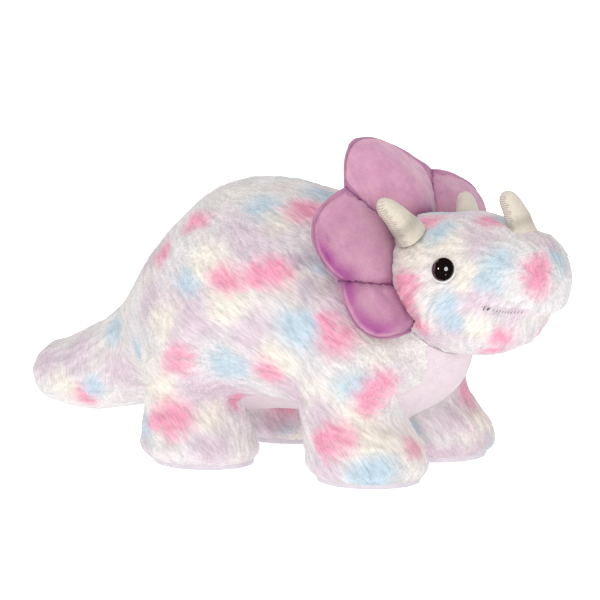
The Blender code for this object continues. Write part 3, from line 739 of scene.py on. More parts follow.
class Geometry(Tree):
    """A group of geometry nodes."""

    def __init__(self, name):
        super().__init__(bpy.data.node_groups.new(name, "GeometryNodeTree"))
        for way in ("INPUT", "OUTPUT"):
            kind = "NodeSocketGeometry"
            self.tree.interface.new_socket("Geometry", in_out=way, socket_type=kind)
        self.start = self.tree.nodes.new("NodeGroupInput").outputs[0]
        self.end = self.tree.nodes.new("NodeGroupOutput").inputs[0]

    def node(self, kind, inputs=(), **settings):
        return self.add("GeometryNode" + kind, inputs, **settings)

    def vector(self, operation, inputs):
        return self.add("ShaderNodeVectorMath", inputs, operation=operation).outputs[0]

    def total(self, first, *pushes):
        """A place and the pushes on it, each as the name of a direction and an amount."""
        for name, amount in pushes:
            push = self.vector("SCALE", {0: self.named(name, VECTOR), "Scale": amount})
            first = self.vector("ADD", {0: first, 1: push})
        return first

    def named(self, name, kind="FLOAT"):
        return self.node("InputNamedAttribute", {"Name": name}, data_type=kind).outputs[0]

    def store(self, geometry, name, kind, value):
        inputs = {"Geometry": geometry, "Name": name, "Value": value}
        node = self.node("StoreNamedAttribute", inputs, data_type=kind, domain="POINT")
        return node.outputs[0]

    def random(self, low, high, seed, kind="FLOAT"):
        first, output = (0, 0) if kind == VECTOR else (2, 1)
        inputs = {first: low, first + 1: high, "Seed": seed}
        return self.add("FunctionNodeRandomValue", inputs, data_type=kind).outputs[output]


STRAND_POINTS = 4
ROOT_DEPTH = 0.2 * MM
DENSITY = STRANDS_PER_M2 * 1.0


def fur_group(name, lift, clump, wild, tuft_spacing, seed):
    """Grows strands: each leaves the skin, lies over along the comb direction and leans
    to the middle of its tuft."""
    g = Geometry(name)
    scattered = "DistributePointsOnFaces"
    scatter = g.node(scattered, {"Mesh": g.start, "Seed": seed, "Density": DENSITY})
    sparse = {"Mesh": g.start, "Seed": seed + 1, "Density": 1.0 / tuft_spacing**2}
    tufts = g.node(scattered, sparse).outputs[0]
    place = g.node("InputPosition").outputs[0]
    nearest = g.node("SampleNearest", {"Geometry": tufts, "Sample Position": place}).outputs[0]

    def of_tuft(kind, value):
        inputs = {"Geometry": tufts, "Value": value, "Index": nearest}
        return g.node("SampleIndex", inputs, data_type=kind).outputs[0]

    tuft_shade = of_tuft("FLOAT", g.random(0.0, 1.0, seed + 2))
    own_shade = g.random(0.0, 1.0, seed + 3)
    points = scatter.outputs["Points"]
    for attribute, kind, value in (
        ("root", VECTOR, place),
        ("out", VECTOR, scatter.outputs["Normal"]),
        ("lean", VECTOR, g.vector("SUBTRACT", {0: of_tuft(VECTOR, place), 1: place})),
        ("shade", "FLOAT", g.plus(g.times(tuft_shade, 0.6), g.times(own_shade, 0.4))),
        ("long", "FLOAT", g.random(0.7, 1.15, seed + 4)),
        ("stray", VECTOR, g.random((-1, -1, -1), (1, 1, 1), seed + 5, VECTOR)),
        ("strand", "INT", g.node("InputIndex").outputs[0]),
    ):
        points = g.store(points, attribute, kind, value)
    copied = {"Geometry": points, "Amount": STRAND_POINTS}
    copies = g.node("DuplicateElements", copied, domain="POINT")
    t = g.math("DIVIDE", copies.outputs["Duplicate Index"], STRAND_POINTS - 1.0)
    points = g.store(copies.outputs["Geometry"], "tip", "FLOAT", t)

    t = g.named("tip")
    length = g.times(g.named("long"), g.times(g.named("pile"), PILE))
    rise = g.times(t, g.math("SUBTRACT", 1.5, g.times(t, 0.75)), lift, length)
    square = g.times(t, t)
    spot = g.total(
        g.named("root", VECTOR),
        ("comb", g.times(length, t)),
        ("out", g.math("SUBTRACT", rise, ROOT_DEPTH)),
        ("lean", g.times(square, clump)),
        ("stray", g.times(square, length, wild)),
    )
    curves = g.node("SetPosition", {"Geometry": points, "Position": spot}).outputs[0]
    grouped = {"Points": curves, "Curve Group ID": g.named("strand", "INT"), "Weight": t}
    curves = g.node("PointsToCurves", grouped).outputs[0]
    radius = g.times(g.math("SUBTRACT", 1.0, g.times(t, 0.7)), STRAND_RADIUS)
    curves = g.node("SetCurveRadius", {"Curve": curves, "Radius": radius}).outputs[0]
    curves = g.node("SetMaterial", {"Geometry": curves, "Material": STRAND}).outputs[0]
    join = g.node("JoinGeometry")
    for source in (curves, g.start):
        g.tree.links.new(source, join.inputs[0])
    g.tree.links.new(join.outputs[0], g.end)
    return g.tree


BODY_FUR = fur_group("body_fur", 0.42, 0.75, 0.14, 1.5 * MM, 11)
HEAD_FUR = fur_group("head_fur", 0.55, 0.65, 0.20, 1.7 * MM, 23)
LEG_FUR = fur_group("leg_fur", 0.50, 0.75, 0.20, 1.8 * MM, 37)


# ---------------------------------------------------------------- furry bodies


COARSE = 4 * MM
MIDLINE = 1e-5  # points this near to the middle plane are put on it
SEAM_SLACK = 1e-6


def fillet(grid, others, reach):
    """Swells a surface where it comes near another body, so that the two run together."""
    points = grid.points
    amount = np.zeros(len(points))
    for name in others:
        tree = tree_of(body_grid(name, COARSE))
        for index, point in enumerate(points):
            away = tree.find_nearest(point, reach)[3]
            if away is not None:
                amount[index] = max(amount[index], 0.25 * reach * (1 - away / reach) ** 2)
    swollen = points + grid.normals() * amount[:, None]
    swollen[np.abs(points[:, 1]) < MIDLINE, 1] = 0.0
    return grid.moved(swollen)


def fill(name, grid, body, node, inset=FILLING_INSET):
    """The stuffing of a body, under its cloth."""
    lumps = 0.7 * MM * noise(grid.points, 9 * MM, 151)
    grid = grid.moved(grid.points + grid.normals() * (lumps - inset)[:, None])
    declare(part_of(name, grid, FIBRE), body, node)


def combed(points, normals, way, swirl, seed):
    """The lie of the pile: a direction along the surface with slow swirls."""
    bent = way + swirl * noise_vector(points, 22 * MM, seed)
    bent = bent + 0.35 * swirl * noise_vector(points, 7 * MM, seed + 9)
    along = bent - normals * np.sum(bent * normals, axis=1, keepdims=True)
    return unit(along)


def furred(grid, way, swirl, spots, seed, depth=1.0, mute=None):
    """Raises the tufts and returns the attributes of a furry body."""
    normals = grid.normals()
    comb = combed(grid.points, normals, way, swirl, seed)
    dye = dyed(grid.points, comb, spots, seed)
    tuft = streaks(grid.points, comb, 2.0 * MM, 8 * MM, seed + 1)
    tuft += 0.6 * streaks(grid.points, comb, 1.3 * MM, 5 * MM, seed + 2)
    soft = noise(grid.points, 13 * MM, seed + 3)
    relief = depth * MM * (0.36 * tuft + 0.45 * soft) - FUR_INSET
    length = 1.0 + 0.18 * noise(grid.points, 9 * MM, seed + 4)
    if mute is not None:
        relief = relief * (1 - mute) - 1.6 * MM * mute
        length = length * (1 - mute)
    lay = laid_along(grid.points, way.mean(axis=0), seed + 6)
    grid.points = grid.points + normals * relief[:, None]
    return {
        "dye": ("FLOAT_COLOR", dye),
        "comb": ("FLOAT_VECTOR", comb),
        "lay": ("FLOAT_VECTOR", lay),
        "tuft": ("FLOAT", tuft),
        "pile": ("FLOAT", length),
    }


def laid_along(points, way, seed):
    """Coordinates squeezed along the pile, so that a texture on them comes out as hairs."""
    along = way / np.linalg.norm(way)
    side = unit(np.cross(along, np.array([0.12, 1.0, 0.05])))
    third = np.cross(along, side)
    bent = points + 3.0 * MM * noise_vector(points, 24 * MM, seed)
    return np.stack([0.16 * bent @ along, bent @ side, bent @ third], axis=-1)


def dress_fur(piece, group, body, node):
    piece.modifiers.new("fur", "NODES").node_group = group
    declare(piece, body, node)


def fur_panels(body, grid, attributes, group, keep=True):
    """The left and the right panel of a body's fur. The seam belongs to both."""
    y = grid.points[:, 1]
    for word, half in (("left", y > -SEAM_SLACK), ("right", y < SEAM_SLACK)):
        name = body + "_fur_" + word
        piece = part_of(name + "_panel", grid, FUR, half & keep, attributes)
        dress_fur(piece, group, body, name)


def body_way(points):
    """The pile runs down and forwards, and more and more forwards down the flank."""
    low = ramp(0.125, 0.06, points[:, 2])
    way = np.zeros_like(points)
    way[:, 0] = 0.68 + 0.22 * low
    way[:, 2] = -0.72 + 0.32 * low
    return way


BODY_SEED = 101
HEAD_SEED = 401


def body_spots():
    """The spots of the torso, the tail and the legs. Each of them wears all of these, so
    that the dye runs on across the seams."""
    spots = []
    for side, word in ((-1, "right"), (1, "left")):
        spots += spot_places(TORSO_SPOTS, side, "torso")
        spots += spot_places(TAIL_SPOTS, side, "tail")
        for leg, rows in (("front_" + word, FRONT_LEG_SPOTS), ("hind_" + word, HIND_LEG_SPOTS)):
            spots += spot_places(rows, side, leg, LEGS[leg][2])
    for dye, place, radius in INNER_SPOTS:
        spots.append((dye, tuple(MM * value for value in place), radius * MM))
    return spots


def leg_reach(name):
    return SLACK_FILLET if LEGS[name][0] is SLACK_LEG else LEG_FILLET


def build_torso(spots):
    grid = body_grid("torso", GRAIN)
    for leg in LEGS:
        grid = fillet(grid, [leg], leg_reach(leg))
    grid = fillet(grid, ["tail", "head"], FILLET)
    fill("torso_filling", body_grid("torso", COARSE), "torso", "torso_stuffing")
    x, y, z = grid.points.T
    table = np.array(BELLY)
    width, top, middle = (np.interp(x, table[:, 0], table[:, i]) for i in (1, 2, 3))
    inside = np.minimum(width - np.abs(y - middle), top - z)
    inside = np.minimum(inside, x - table[0, 0])
    smooth = grid.moved(grid.points - grid.normals() * (FUR_INSET + PANEL_INSET))
    creased = 0.5 * MM * noise(smooth.points, 16 * MM, 141)
    creased += 0.15 * MM * noise(smooth.points, 5 * MM, 142)
    smooth = smooth.moved(smooth.points + smooth.normals() * creased[:, None])
    mute = 0.8 * ramp(-3.0 * MM, 1.0 * MM, inside)
    attributes = furred(grid, body_way(grid.points), 0.35, spots, BODY_SEED, mute=mute)
    fur_panels("torso", grid, attributes, BODY_FUR, inside < PANEL_LAP)
    belly = part_of("belly_velour", smooth, LILAC, inside > -PANEL_TUCK)
    declare(belly, "torso", "belly_panel")


def build_tail(spots):
    grid = fillet(body_grid("tail", GRAIN), ["torso"], FILLET)
    fill("tail_filling", body_grid("tail", COARSE), "tail", "tail_stuffing")
    back = ramp(-0.09, -0.13, grid.points[:, 0])[:, None]
    way = body_way(grid.points) * (1 - back) + np.array([-0.8, 0.0, -0.45]) * back
    fur_panels("tail", grid, furred(grid, way, 0.4, spots, BODY_SEED), BODY_FUR)


def build_leg(name, spots):
    grid = fillet(body_grid(name, GRAIN), ["torso"], leg_reach(name))
    body = "leg_" + name
    fill("leg_filling_" + name, body_grid(name, COARSE), body, "leg_stuffing_" + name)
    height = grid.points[:, 2]
    way = body_way(grid.points)
    way[:, 2] -= 1.1 * ramp(0.022, 0.006, height)
    inset = (FUR_INSET + 2 * PANEL_INSET) * ramp(0.5 * SOLE_TOP, SOLE_TOP + 1.0 * MM, height)
    smooth = grid.moved(grid.points - grid.normals() * inset[:, None])
    smooth.points[:, 2] = np.maximum(smooth.points[:, 2], 0.0)
    sole = ramp(SOLE_TOP + 1.0 * MM, SOLE_TOP - 1.0 * MM, height)
    attributes = furred(grid, way, 0.6, spots, BODY_SEED, depth=1.2, mute=sole)
    grid.points[:, 2] = np.maximum(grid.points[:, 2], 0.0)
    fur = "leg_fur_" + name
    sleeve = part_of(fur + "_sleeve", grid, FUR, height > SOLE_TOP - SOLE_LAP, attributes)
    dress_fur(sleeve, LEG_FUR, body, fur)
    foot = part_of("sole_" + name + "_velour", smooth, SOLE, height < SOLE_TOP + SOLE_TUCK)
    declare(foot, body, "sole_" + name)


# ---------------------------------------------------------------- head

MOUTH_CORNER_X = 0.1455
MOUTH_END_X = 0.167
MOUTH_HEIGHT = 0.1050
MOUTH_DROP = 3.2 * MM
LIP_DROP = 7.5 * MM
STITCHED_TO_X = 0.1640
SEWN_DEPTH = 0.6  # how far the stitches sit down in the crease
JAW_FROM_X = 0.150
JAW_SHORTENED = 0.50
CREASE_DEPTH = 2.0 * MM
CREASE_WIDTH = 1.9 * MM


# The toy wears its horns askew: the right one stands up and the left one lies lower.
# A horn is its foot, its tip, its bend, its radii at both ends and its side.
BROW_BEND, BROW_RADII = Vector((0.0004, 0.0, 0.0008)), (8.6 * MM, 4.8 * MM)
LEFT_BASE, LEFT_TIP = Vector((0.0930, 0.0320, 0.1385)), Vector((0.0822, 0.0450, 0.1535))
RIGHT_BASE, RIGHT_TIP = Vector((0.0888, -0.0318, 0.1466)), Vector((0.0798, -0.0462, 0.1622))
NOSE_BASE, NOSE_TIP = Vector((0.1466, 0.0, 0.1478)), Vector((0.1353, 0.0, 0.1658))
NOSE_BEND, NOSE_RADII = Vector((0.0008, 0.0, 0.0006)), (7.9 * MM, 5.2 * MM)
HORNS = {
    "brow_horn_left": (LEFT_BASE, LEFT_TIP, BROW_BEND, BROW_RADII, 1),
    "brow_horn_right": (RIGHT_BASE, RIGHT_TIP, BROW_BEND, BROW_RADII, -1),
    "nose_horn": (NOSE_BASE, NOSE_TIP, NOSE_BEND, NOSE_RADII, 0),
}
EYE_CLEARING = (9.5 * MM, 7.0 * MM)  # the pile is trimmed from here to here round an eye
EYE_SINK = 0.6 * MM
HORN_COLLAR = 17 * MM  # the fur within this turns to the horn and laps its foot


def mouth_height(x):
    t = np.clip((x - MOUTH_CORNER_X) / (MOUTH_END_X - MOUTH_CORNER_X), 0.0, 1.3)
    return MOUTH_HEIGHT - MOUTH_DROP * (1 - np.exp(-3.5 * t)) - LIP_DROP * ramp(0.85, 1.3, t)


def shape_mouth(points, normals):
    """Upper lip forwards, lower jaw back, and a crease between them."""
    x, _, z = points.T
    above = z - mouth_height(x)
    jaw = ramp(1.5 * MM, -2.5 * MM, above)
    crease = ramp(MOUTH_CORNER_X - 0.001, MOUTH_CORNER_X + 0.005, x)
    crease = crease * np.exp(-((above / CREASE_WIDTH) ** 2))
    moved = points.copy()
    moved[:, 0] -= JAW_SHORTENED * jaw * np.maximum(x - JAW_FROM_X, 0.0)
    return moved - normals * (CREASE_DEPTH * crease)[:, None]


def head_way(points):
    """The pile runs back from the nose and turns down over the cheeks and chin."""
    below = ramp(0.02, -0.03, points[:, 2] - HEAD_PIVOT.z)
    way = np.zeros_like(points)
    way[:, 0] = -0.8 + 0.5 * below
    way[:, 2] = -0.25 - 0.75 * below
    return way


def build_head():
    grid = body_grid("head", FINE_GRAIN)
    grid.points = shape_mouth(grid.points, grid.normals())
    grid.points[np.abs(grid.points[:, 1]) < MIDLINE, 1] = 0.0
    spots = spot_places(HEAD_SPOTS, -1, "head") + spot_places(HEAD_SPOTS, 1, "head")
    bare = np.zeros(len(grid.points))
    for side in (-1, 1):
        away = np.linalg.norm(grid.points - np.array(eye_place(side)[0]), axis=1)
        bare = np.maximum(bare, ramp(*EYE_CLEARING, away))
    normals = grid.normals()
    coarse = body_grid("head", COARSE)
    coarse = coarse.moved(shape_mouth(coarse.points, coarse.normals()))
    fill("head_filling", coarse, "head", "head_stuffing", HEAD_FILLING_INSET)
    way = head_way(grid.points)
    for base, tip, *_ in HORNS.values():
        inward = np.array(base) - grid.points
        near = ramp(HORN_COLLAR, 0.6 * HORN_COLLAR, np.linalg.norm(inward, axis=1))[:, None]
        lifted = unit(inward) + 0.5 * np.array((tip - base).normalized())
        way = way * (1 - near) + lifted * near
    attributes = furred(grid, way, 0.7, spots, HEAD_SEED)
    kind, pile = attributes["pile"]
    attributes["pile"] = (kind, pile * (1 - 0.8 * bare))
    grid.points = grid.points - normals * (EYE_SINK * bare)[:, None]
    fur_panels("head", grid, attributes, HEAD_FUR)


# ---------------------------------------------------------------- eyes and mouth

EYE_X = 0.1202
EYE_ANGLE = math.radians(70)
EYE_RADIUS = 7.0 * MM
EYE_DOME = 4.3 * MM
EYE_RING = 7.45 * MM
RING_DROP = 0.40 * MM  # the backing hangs a little below the middle of the dome
EYE_SEGMENTS = 48
EYE_BASE = 0.9 * MM
EDGE = 0.6 * MM


def eye_place(side):
    """Where an eye sits and which way it looks."""
    sine, cosine = math.sin(EYE_ANGLE), math.cos(EYE_ANGLE)
    centre, high, wide, _ = head_section(EYE_X)
    spot = Vector((EYE_X, side * wide * sine, centre + high * cosine))
    return spot, Vector((0.12 / high, side * sine / wide, cosine / high)).normalized()


def ring_faces(rows, columns):
    """Faces of a bar that is made of rings, with a flat end at both."""
    faces = []
    for low in range(0, (rows - 1) * columns, columns):
        for k in range(columns):
            after = (k + 1) % columns
            faces.append((low + k, low + after, low + columns + after, low + columns + k))
    last = (rows - 1) * columns
    return faces + [tuple(range(columns))[::-1], tuple(range(last, last + columns))]


def turned(name, profile, spot, out, material):
    """A solid of revolution from (radius, height) pairs, its axis along out."""
    tilt = Vector((0, 0, 1)).rotation_difference(out).to_matrix()
    points = []
    for radius, height in profile:
        for k in range(EYE_SEGMENTS):
            angle = 2 * math.pi * k / EYE_SEGMENTS
            local = Vector((radius * math.cos(angle), radius * math.sin(angle), height))
            points.append(spot + tilt @ local)
    return add_mesh(name, points, ring_faces(len(profile), EYE_SEGMENTS), material)


def build_eye(word, side):
    spot, out = eye_place(side)
    foot = EYE_BASE - EDGE
    dome = [(2.0 * MM, -6.0 * MM), (2.0 * MM, foot), (EYE_RADIUS * 0.97, foot)]
    for i in range(13):
        angle = 0.5 * math.pi * i / 12.6
        dome.append((EYE_RADIUS * math.cos(angle), EYE_BASE + EYE_DOME * math.sin(angle)))
    ring = []
    for angle in math.pi * np.linspace(-0.5, 0.5, 13):
        radius = EYE_RING - EDGE + EDGE * math.cos(angle)
        ring.append((radius, 0.3 * MM + 0.55 * MM * math.sin(angle)))
    low = spot - Vector((0.0, 0.0, RING_DROP))
    eye = turned("eye_dome_" + word, dome, spot, out, EYE_BLACK)
    backing = turned("eye_backing_" + word, ring, low, out, EYE_WHITE)
    declare(eye, "head", "eye_" + word)
    declare(backing, "head", "eye_ring_" + word)


def tube(points, radius, segments=8, taper=0.35):
    """Points and faces of a round bar along a path, its ends drawn in."""
    points = np.array(points, float)
    ahead = unit(np.gradient(points, axis=0))
    side = unit(np.cross(ahead, np.array([0.31, 0.17, 0.94])))
    up = np.cross(side, ahead)
    size = np.ones(len(points))
    size[[0, -1]] = taper
    angle = (2 * math.pi * np.arange(segments) / segments)[None, :, None]
    around = np.cos(angle) * side[:, None] + np.sin(angle) * up[:, None]
    rings = points[:, None] + radius * size[:, None, None] * around
    return rings.reshape(-1, 3), ring_faces(len(points), segments)


def joined(name, parts, material):
    """One piece from several bodies, each as points and faces."""
    points, faces = [], []
    for part_points, part_faces in parts:
        faces += [tuple(len(points) + i for i in face) for face in part_faces]
        points += [tuple(p) for p in part_points]
    return add_mesh(name, points, faces, material)


def mouth_point(x, side, lift):
    """A point on the mouth line, lifted off the sewn surface."""
    z = float(mouth_height(np.array(x)))
    centre, high, wide, factor = head_section(x)
    cos_angle = np.clip((z - centre) / (high * factor), -1, 1)
    y = wide * factor * math.sqrt(1 - cos_angle**2)
    out = unit(np.array([0.25, y / wide**2, (z - centre) / high**2]))
    sewn = shape_mouth(np.array([[x, y, z]]), SEWN_DEPTH * out[None])[0]
    return (sewn + out * lift) * (1, side, 1)


def build_mouth(word, side):
    """Small hand stitches across the mouth line, with two heavy ones at its corner: each
    is (x, half height, slant, radius)."""
    stitches = [
        (MOUTH_CORNER_X - 1.4 * MM, 1.1, 0.35, 0.28),
        (MOUTH_CORNER_X + 0.6 * MM, 0.45, 0.35, 0.48),
    ]
    x = MOUTH_CORNER_X + 3.0 * MM
    while x < STITCHED_TO_X:
        stitches.append((x, 0.75, 0.45, 0.19))
        x += 1.7 * MM
    parts = []
    for x, half, slant, radius in stitches:
        path = []
        for t in np.linspace(-1, 1, 7):
            lift = (1.6 * (1 - t * t) - 0.9) * radius / 0.34 + 0.1
            p = mouth_point(x + slant * MM * t, side, lift * MM)
            path.append(p + np.array([0, 0, half * MM * t]))
        parts.append(tube(path, radius * MM))
    piece = joined("mouth_thread_" + word, parts, THREAD)
    declare(piece, "head", "mouth_stitch_" + word)


# ---------------------------------------------------------------- horns

HORN_ROOT = -0.3
HORN_ROUND_FROM = 0.72
HORN_RINGS = 132
HORN_COLUMNS = 72
STITCH_PITCH = 1.3 * MM
STITCH_REACH = 4.4  # millimetres to each side of the seam
STITCH_DEPTH = 0.24 * MM
SEAM_RIDGE = 0.35 * MM
HORN_WALL = 1.2 * MM


def build_horn(name, base, tip, bend, radii, side):
    """A velour cone with one whipped seam down its outer edge."""
    rows = np.linspace(HORN_ROOT, 1.0, HORN_RINGS)
    rows = np.concatenate([rows[:-1], 1.0 - 0.02 * np.array([0.35, 0.12, 0.02])])
    rows.sort()
    axis = (tip - base).normalized()
    rear = Vector((-0.30, 0.95 * side - 0.45 * (side == 0), 0.0))
    length = (tip - base).length
    points, horn_shade_and_tone = [], []
    for t in rows:
        into = max(0.0, (t - HORN_ROUND_FROM) / (1 - HORN_ROUND_FROM))
        radius = (radii[0] + (radii[1] - radii[0]) * t) * math.sqrt(max(1e-6, 1 - into**2))
        centre = base.lerp(tip, t) + bend * (4 * t * (1 - t))
        ahead = ((tip - base) + bend * (4 - 8 * t)).normalized()
        back = (rear - ahead * rear.dot(ahead)).normalized()
        across = ahead.cross(back)
        for k in range(HORN_COLUMNS):
            angle = 2 * math.pi * k / HORN_COLUMNS
            turn = abs((angle + math.pi) % (2 * math.pi) - math.pi)
            from_seam = turn * radius
            ridge = math.exp(-((from_seam / (1.0 * MM)) ** 2))
            slanted = t * length + 0.35 * (from_seam if angle < math.pi else -from_seam)
            beat = (0.5 + 0.5 * math.cos(2 * math.pi * slanted / STITCH_PITCH)) ** 2
            reach = (STITCH_REACH + 0.9 * math.sin(slanted / (0.7 * MM))) * MM
            stitched = float(ramp(reach + 0.9 * MM, reach - 0.9 * MM, from_seam)) * (1 - into**4)
            out = SEAM_RIDGE * ridge - STITCH_DEPTH * stitched * beat
            flat = 1.0 - 0.10 * math.sin(angle) ** 2
            direction = back * math.cos(angle) + across * math.sin(angle)
            points.append(centre + direction * (radius * flat + out))
            # Painted shade in the stitch grooves, with the seam line a little darker in tone
            dark = 1.0 - 0.50 * stitched * beat - 0.15 * math.exp(-((from_seam / (0.5 * MM)) ** 2))
            # Painted shadow round the horn's foot, under the lapping fur
            dark *= 1.0 - 0.28 * math.exp(-(((t - 0.06) / 0.16) ** 2))
            horn_shade_and_tone.append((dark, dark * 0.985, dark * 0.96))
    grid = Grid(np.array(points).reshape(len(rows), HORN_COLUMNS, 3))
    normals = grid.normals()
    lumps = 0.28 * MM * noise(grid.points, 5 * MM, 71)
    lumps = lumps + 0.10 * MM * noise(grid.points, 1.6 * MM, 72)
    grid.points = grid.points + normals * lumps[:, None]
    horn_shade_and_tone = {"stain": ("FLOAT_COLOR", np.array(horn_shade_and_tone + [(1.0, 1.0, 1.0)] * 2))}
    horn = part_of(name + "_felt", grid, HORN, attributes=horn_shade_and_tone)
    declare(horn, "head", name + "_velour")
    core = grid.moved(grid.points - grid.normals() * HORN_WALL)
    declare(part_of(name + "_filling", core, FIBRE), "head", name + "_stuffing")


# ---------------------------------------------------------------- frill

def rib(x, degrees, outer):
    """Where on the head a rib starts, its angle round the head from the top, and the
    point where it ends."""
    return x, math.radians(degrees), Vector(outer)


FRILL_SEAMS = (
    rib(0.078, 33, (0.058, 0.046, 0.168)),
    rib(0.086, 86, (0.071, 0.0745, 0.1202)),
    rib(0.099, 115, (0.102, 0.047, 0.090)),
)
FRILL_TIPS = (
    rib(0.083, 0, (0.0445, -0.007, 0.1905)),
    rib(0.082, 60, (0.058, 0.083, 0.1495)),
    rib(0.093, 101, (0.0835, 0.0685, 0.0905)),
)
# The left middle lobe flops forwards, and takes the seams beside it along
FLOPPED_TOP_SEAM = rib(0.078, 33, (0.0593, 0.046, 0.1650))
FLOPPED_TIP = rib(0.082, 60, (0.068, 0.084, 0.147))
FLOPPED_SEAM = rib(0.086, 86, (0.080, 0.073, 0.118))
FRILL_HALF_THICKNESS = (6.4 * MM, 5.8 * MM, 4.8 * MM)
FRILL_GAP = -3.0 * MM  # the frill's edge is sewn in under the fur
FRILL_ROUNDNESS = 0.95
FRILL_COLUMNS = 26
FRILL_ROWS = 26
FRILL_SWELL = 1.3 * MM
CLOTH_STEPS = 24
CLOTH = {
    "vertex_group_mass": "pin",
    "use_pressure": True,
    "uniform_pressure_force": 5.0,
    "mass": 0.25,
    "tension_stiffness": 8.0,
    "compression_stiffness": 8.0,
    "shear_stiffness": 4.0,
    "bending_stiffness": 0.5,
    "shrink_min": -0.06,
    "quality": 6,
}


def flipped(one):
    x, angle, outer = one
    return x, -angle, Vector((outer.x, -outer.y, outer.z))


def lobes():
    """From the right cheek to the left: (first seam, tip, last seam, half thickness)."""
    top_seam, side_seam, end = FRILL_SEAMS
    top, middle, low = FRILL_TIPS
    thick = FRILL_HALF_THICKNESS
    return (
        (flipped(end), flipped(low), flipped(side_seam), thick[2]),
        (flipped(side_seam), flipped(middle), flipped(top_seam), thick[1]),
        (flipped(top_seam), top, FLOPPED_TOP_SEAM, thick[0]),
        (FLOPPED_TOP_SEAM, FLOPPED_TIP, FLOPPED_SEAM, thick[1]),
        (FLOPPED_SEAM, low, end, thick[2]),
    )


def lobe_rib(lobe, s):
    """Inner and outer point of a rib at 0 to 1 between a lobe's two seams."""
    first, tip, last, _ = lobe
    bow = 4 * s * (1 - s)
    round_bow = max(0.0, 1 - (2 * s - 1) ** 2) ** FRILL_ROUNDNESS

    x, angle = (
        first[i] + (last[i] - first[i]) * s + bow * (tip[i] - 0.5 * (first[i] + last[i]))
        for i in (0, 1)
    )
    outer = first[2].lerp(last[2], s) + round_bow * (tip[2] - 0.5 * (first[2] + last[2]))
    centre, high, wide, factor = head_section(x)
    sideways = (wide * factor + FRILL_GAP) * math.sin(angle)
    upwards = centre + (high * factor + FRILL_GAP) * math.cos(angle)
    return Vector((x, sideways, upwards)), outer


def lobe_points(lobe):
    """Middle surface, normal and half thickness of a lobe, as arrays over its grid."""
    middle = np.empty((FRILL_COLUMNS + 1, FRILL_ROWS + 1, 3))
    normal = np.empty_like(middle)
    half = np.empty((FRILL_COLUMNS + 1, FRILL_ROWS + 1))
    for i in range(FRILL_COLUMNS + 1):
        s = 0.5 * (1 - math.cos(math.pi * i / FRILL_COLUMNS))
        inner, outer = lobe_rib(lobe, s)
        near = min(max(s, 0.08), 0.92)
        before, after = lobe_rib(lobe, near - 0.04), lobe_rib(lobe, near + 0.04)
        for j in range(FRILL_ROWS + 1):
            t = 0.5 * (1 - math.cos(math.pi * j / FRILL_ROWS))
            side = after[0].lerp(after[1], t) - before[0].lerp(before[1], t)
            middle[i, j] = inner.lerp(outer, t)
            normal[i, j] = side.cross(outer - inner).normalized()
            across = max(0.0, math.sin(math.pi * s)) ** 0.7
            along = max(0.0, math.sin(math.pi * t)) ** 0.72
            half[i, j] = lobe[3] * across * along
    return middle, normal, half


LOBE_WORDS = ("right_lower", "right_middle", "top", "left_middle", "left_lower")
RIM_SEAM_ROW = FRILL_ROWS - 3  # the front sheet ends at this row, just inside the outline
RIM_GROOVE = 0.6 * MM
FRILL_CLOTH = 0.6 * MM
WADDING_COLUMNS, WADDING_ROWS, WADDING_RIM = 5, 8, 5  # left free at the seams, foot and rim
WADDING_SHARE = 0.55  # of the pocket's half thickness


def sewn_pocket(name):
    """The frill as closed pockets, sewn together along the seams. Returns the object,
    whether each face is on the back sheet, which vertices are sewn, and for each vertex
    its row, its outward direction and the least that it may stand out."""
    points, facts, faces, back, key = [], [], [], [], {}

    def vertex(point, edge, *others):
        mark = tuple(np.round(np.array(point) / (0.02 * MM)).astype(int)) if edge else len(points)
        if mark not in key:
            key[mark] = len(points)
            points.append(point)
            facts.append((edge, *others))
        return key[mark]

    for lobe in lobes():
        middle, normal, half = lobe_points(lobe)
        for side, sign in ((0, 1.0), (1, -1.0)):
            numbers = np.empty(half.shape, int)
            for i, j in np.ndindex(half.shape):
                edge = i in (0, FRILL_COLUMNS) or j in (0, FRILL_ROWS)
                out = sign * normal[i, j]
                place = middle[i, j] if edge else middle[i, j] + out * half[i, j]
                row = 2 * FRILL_ROWS - j if side else j
                numbers[i, j] = vertex(place, edge, row, out, half[i, j])
            for i, j in np.ndindex(FRILL_COLUMNS, FRILL_ROWS):
                corners = [(i, j), (i + 1, j), (i + 1, j + 1), (i, j + 1)]
                corners = [numbers[corner] for corner in corners]
                faces.append(corners[::-1] if side else corners)
                back.append(side == 1 or j >= RIM_SEAM_ROW)
    return add_mesh(name, points, faces), [np.array(back), *map(np.array, zip(*facts))]


def inflate(piece, held):
    """Blows the pockets up as cloth held at its seams, and caps how far a point moves."""
    pin = piece.vertex_groups.new(name="pin")
    pin.add([int(i) for i in np.flatnonzero(held)], 1.0, "ADD")
    cloth = piece.modifiers.new("cloth", "CLOTH")
    cloth.settings.effector_weights.gravity = 0.0
    for key, value in CLOTH.items():
        setattr(cloth.settings, key, value)
    cloth.point_cache.frame_start = 1
    cloth.point_cache.frame_end = CLOTH_STEPS
    cloth.collision_settings.use_collision = False
    scene = bpy.context.scene
    for number in range(CLOTH_STEPS):
        scene.frame_set(number + 1)
    evaluated = piece.evaluated_get(bpy.context.evaluated_depsgraph_get())
    start, blown = np.empty((2, 3 * len(piece.data.vertices)))
    piece.data.vertices.foreach_get("co", start)
    evaluated.data.vertices.foreach_get("co", blown)
    piece.modifiers.remove(cloth)
    scene.frame_set(1)
    step = (blown - start).reshape(-1, 3)
    size = np.linalg.norm(step, axis=1, keepdims=True)
    return step * np.minimum(1.0, FRILL_SWELL / np.maximum(size, 1e-9))


def nearest_away(points, chosen):
    """Distance of every point to the nearest chosen one."""
    tree = KDTree(int(chosen.sum()))
    for i in np.flatnonzero(chosen):
        tree.insert(points[i], int(i))
    tree.balance()
    return np.array([tree.find(p)[2] for p in points])


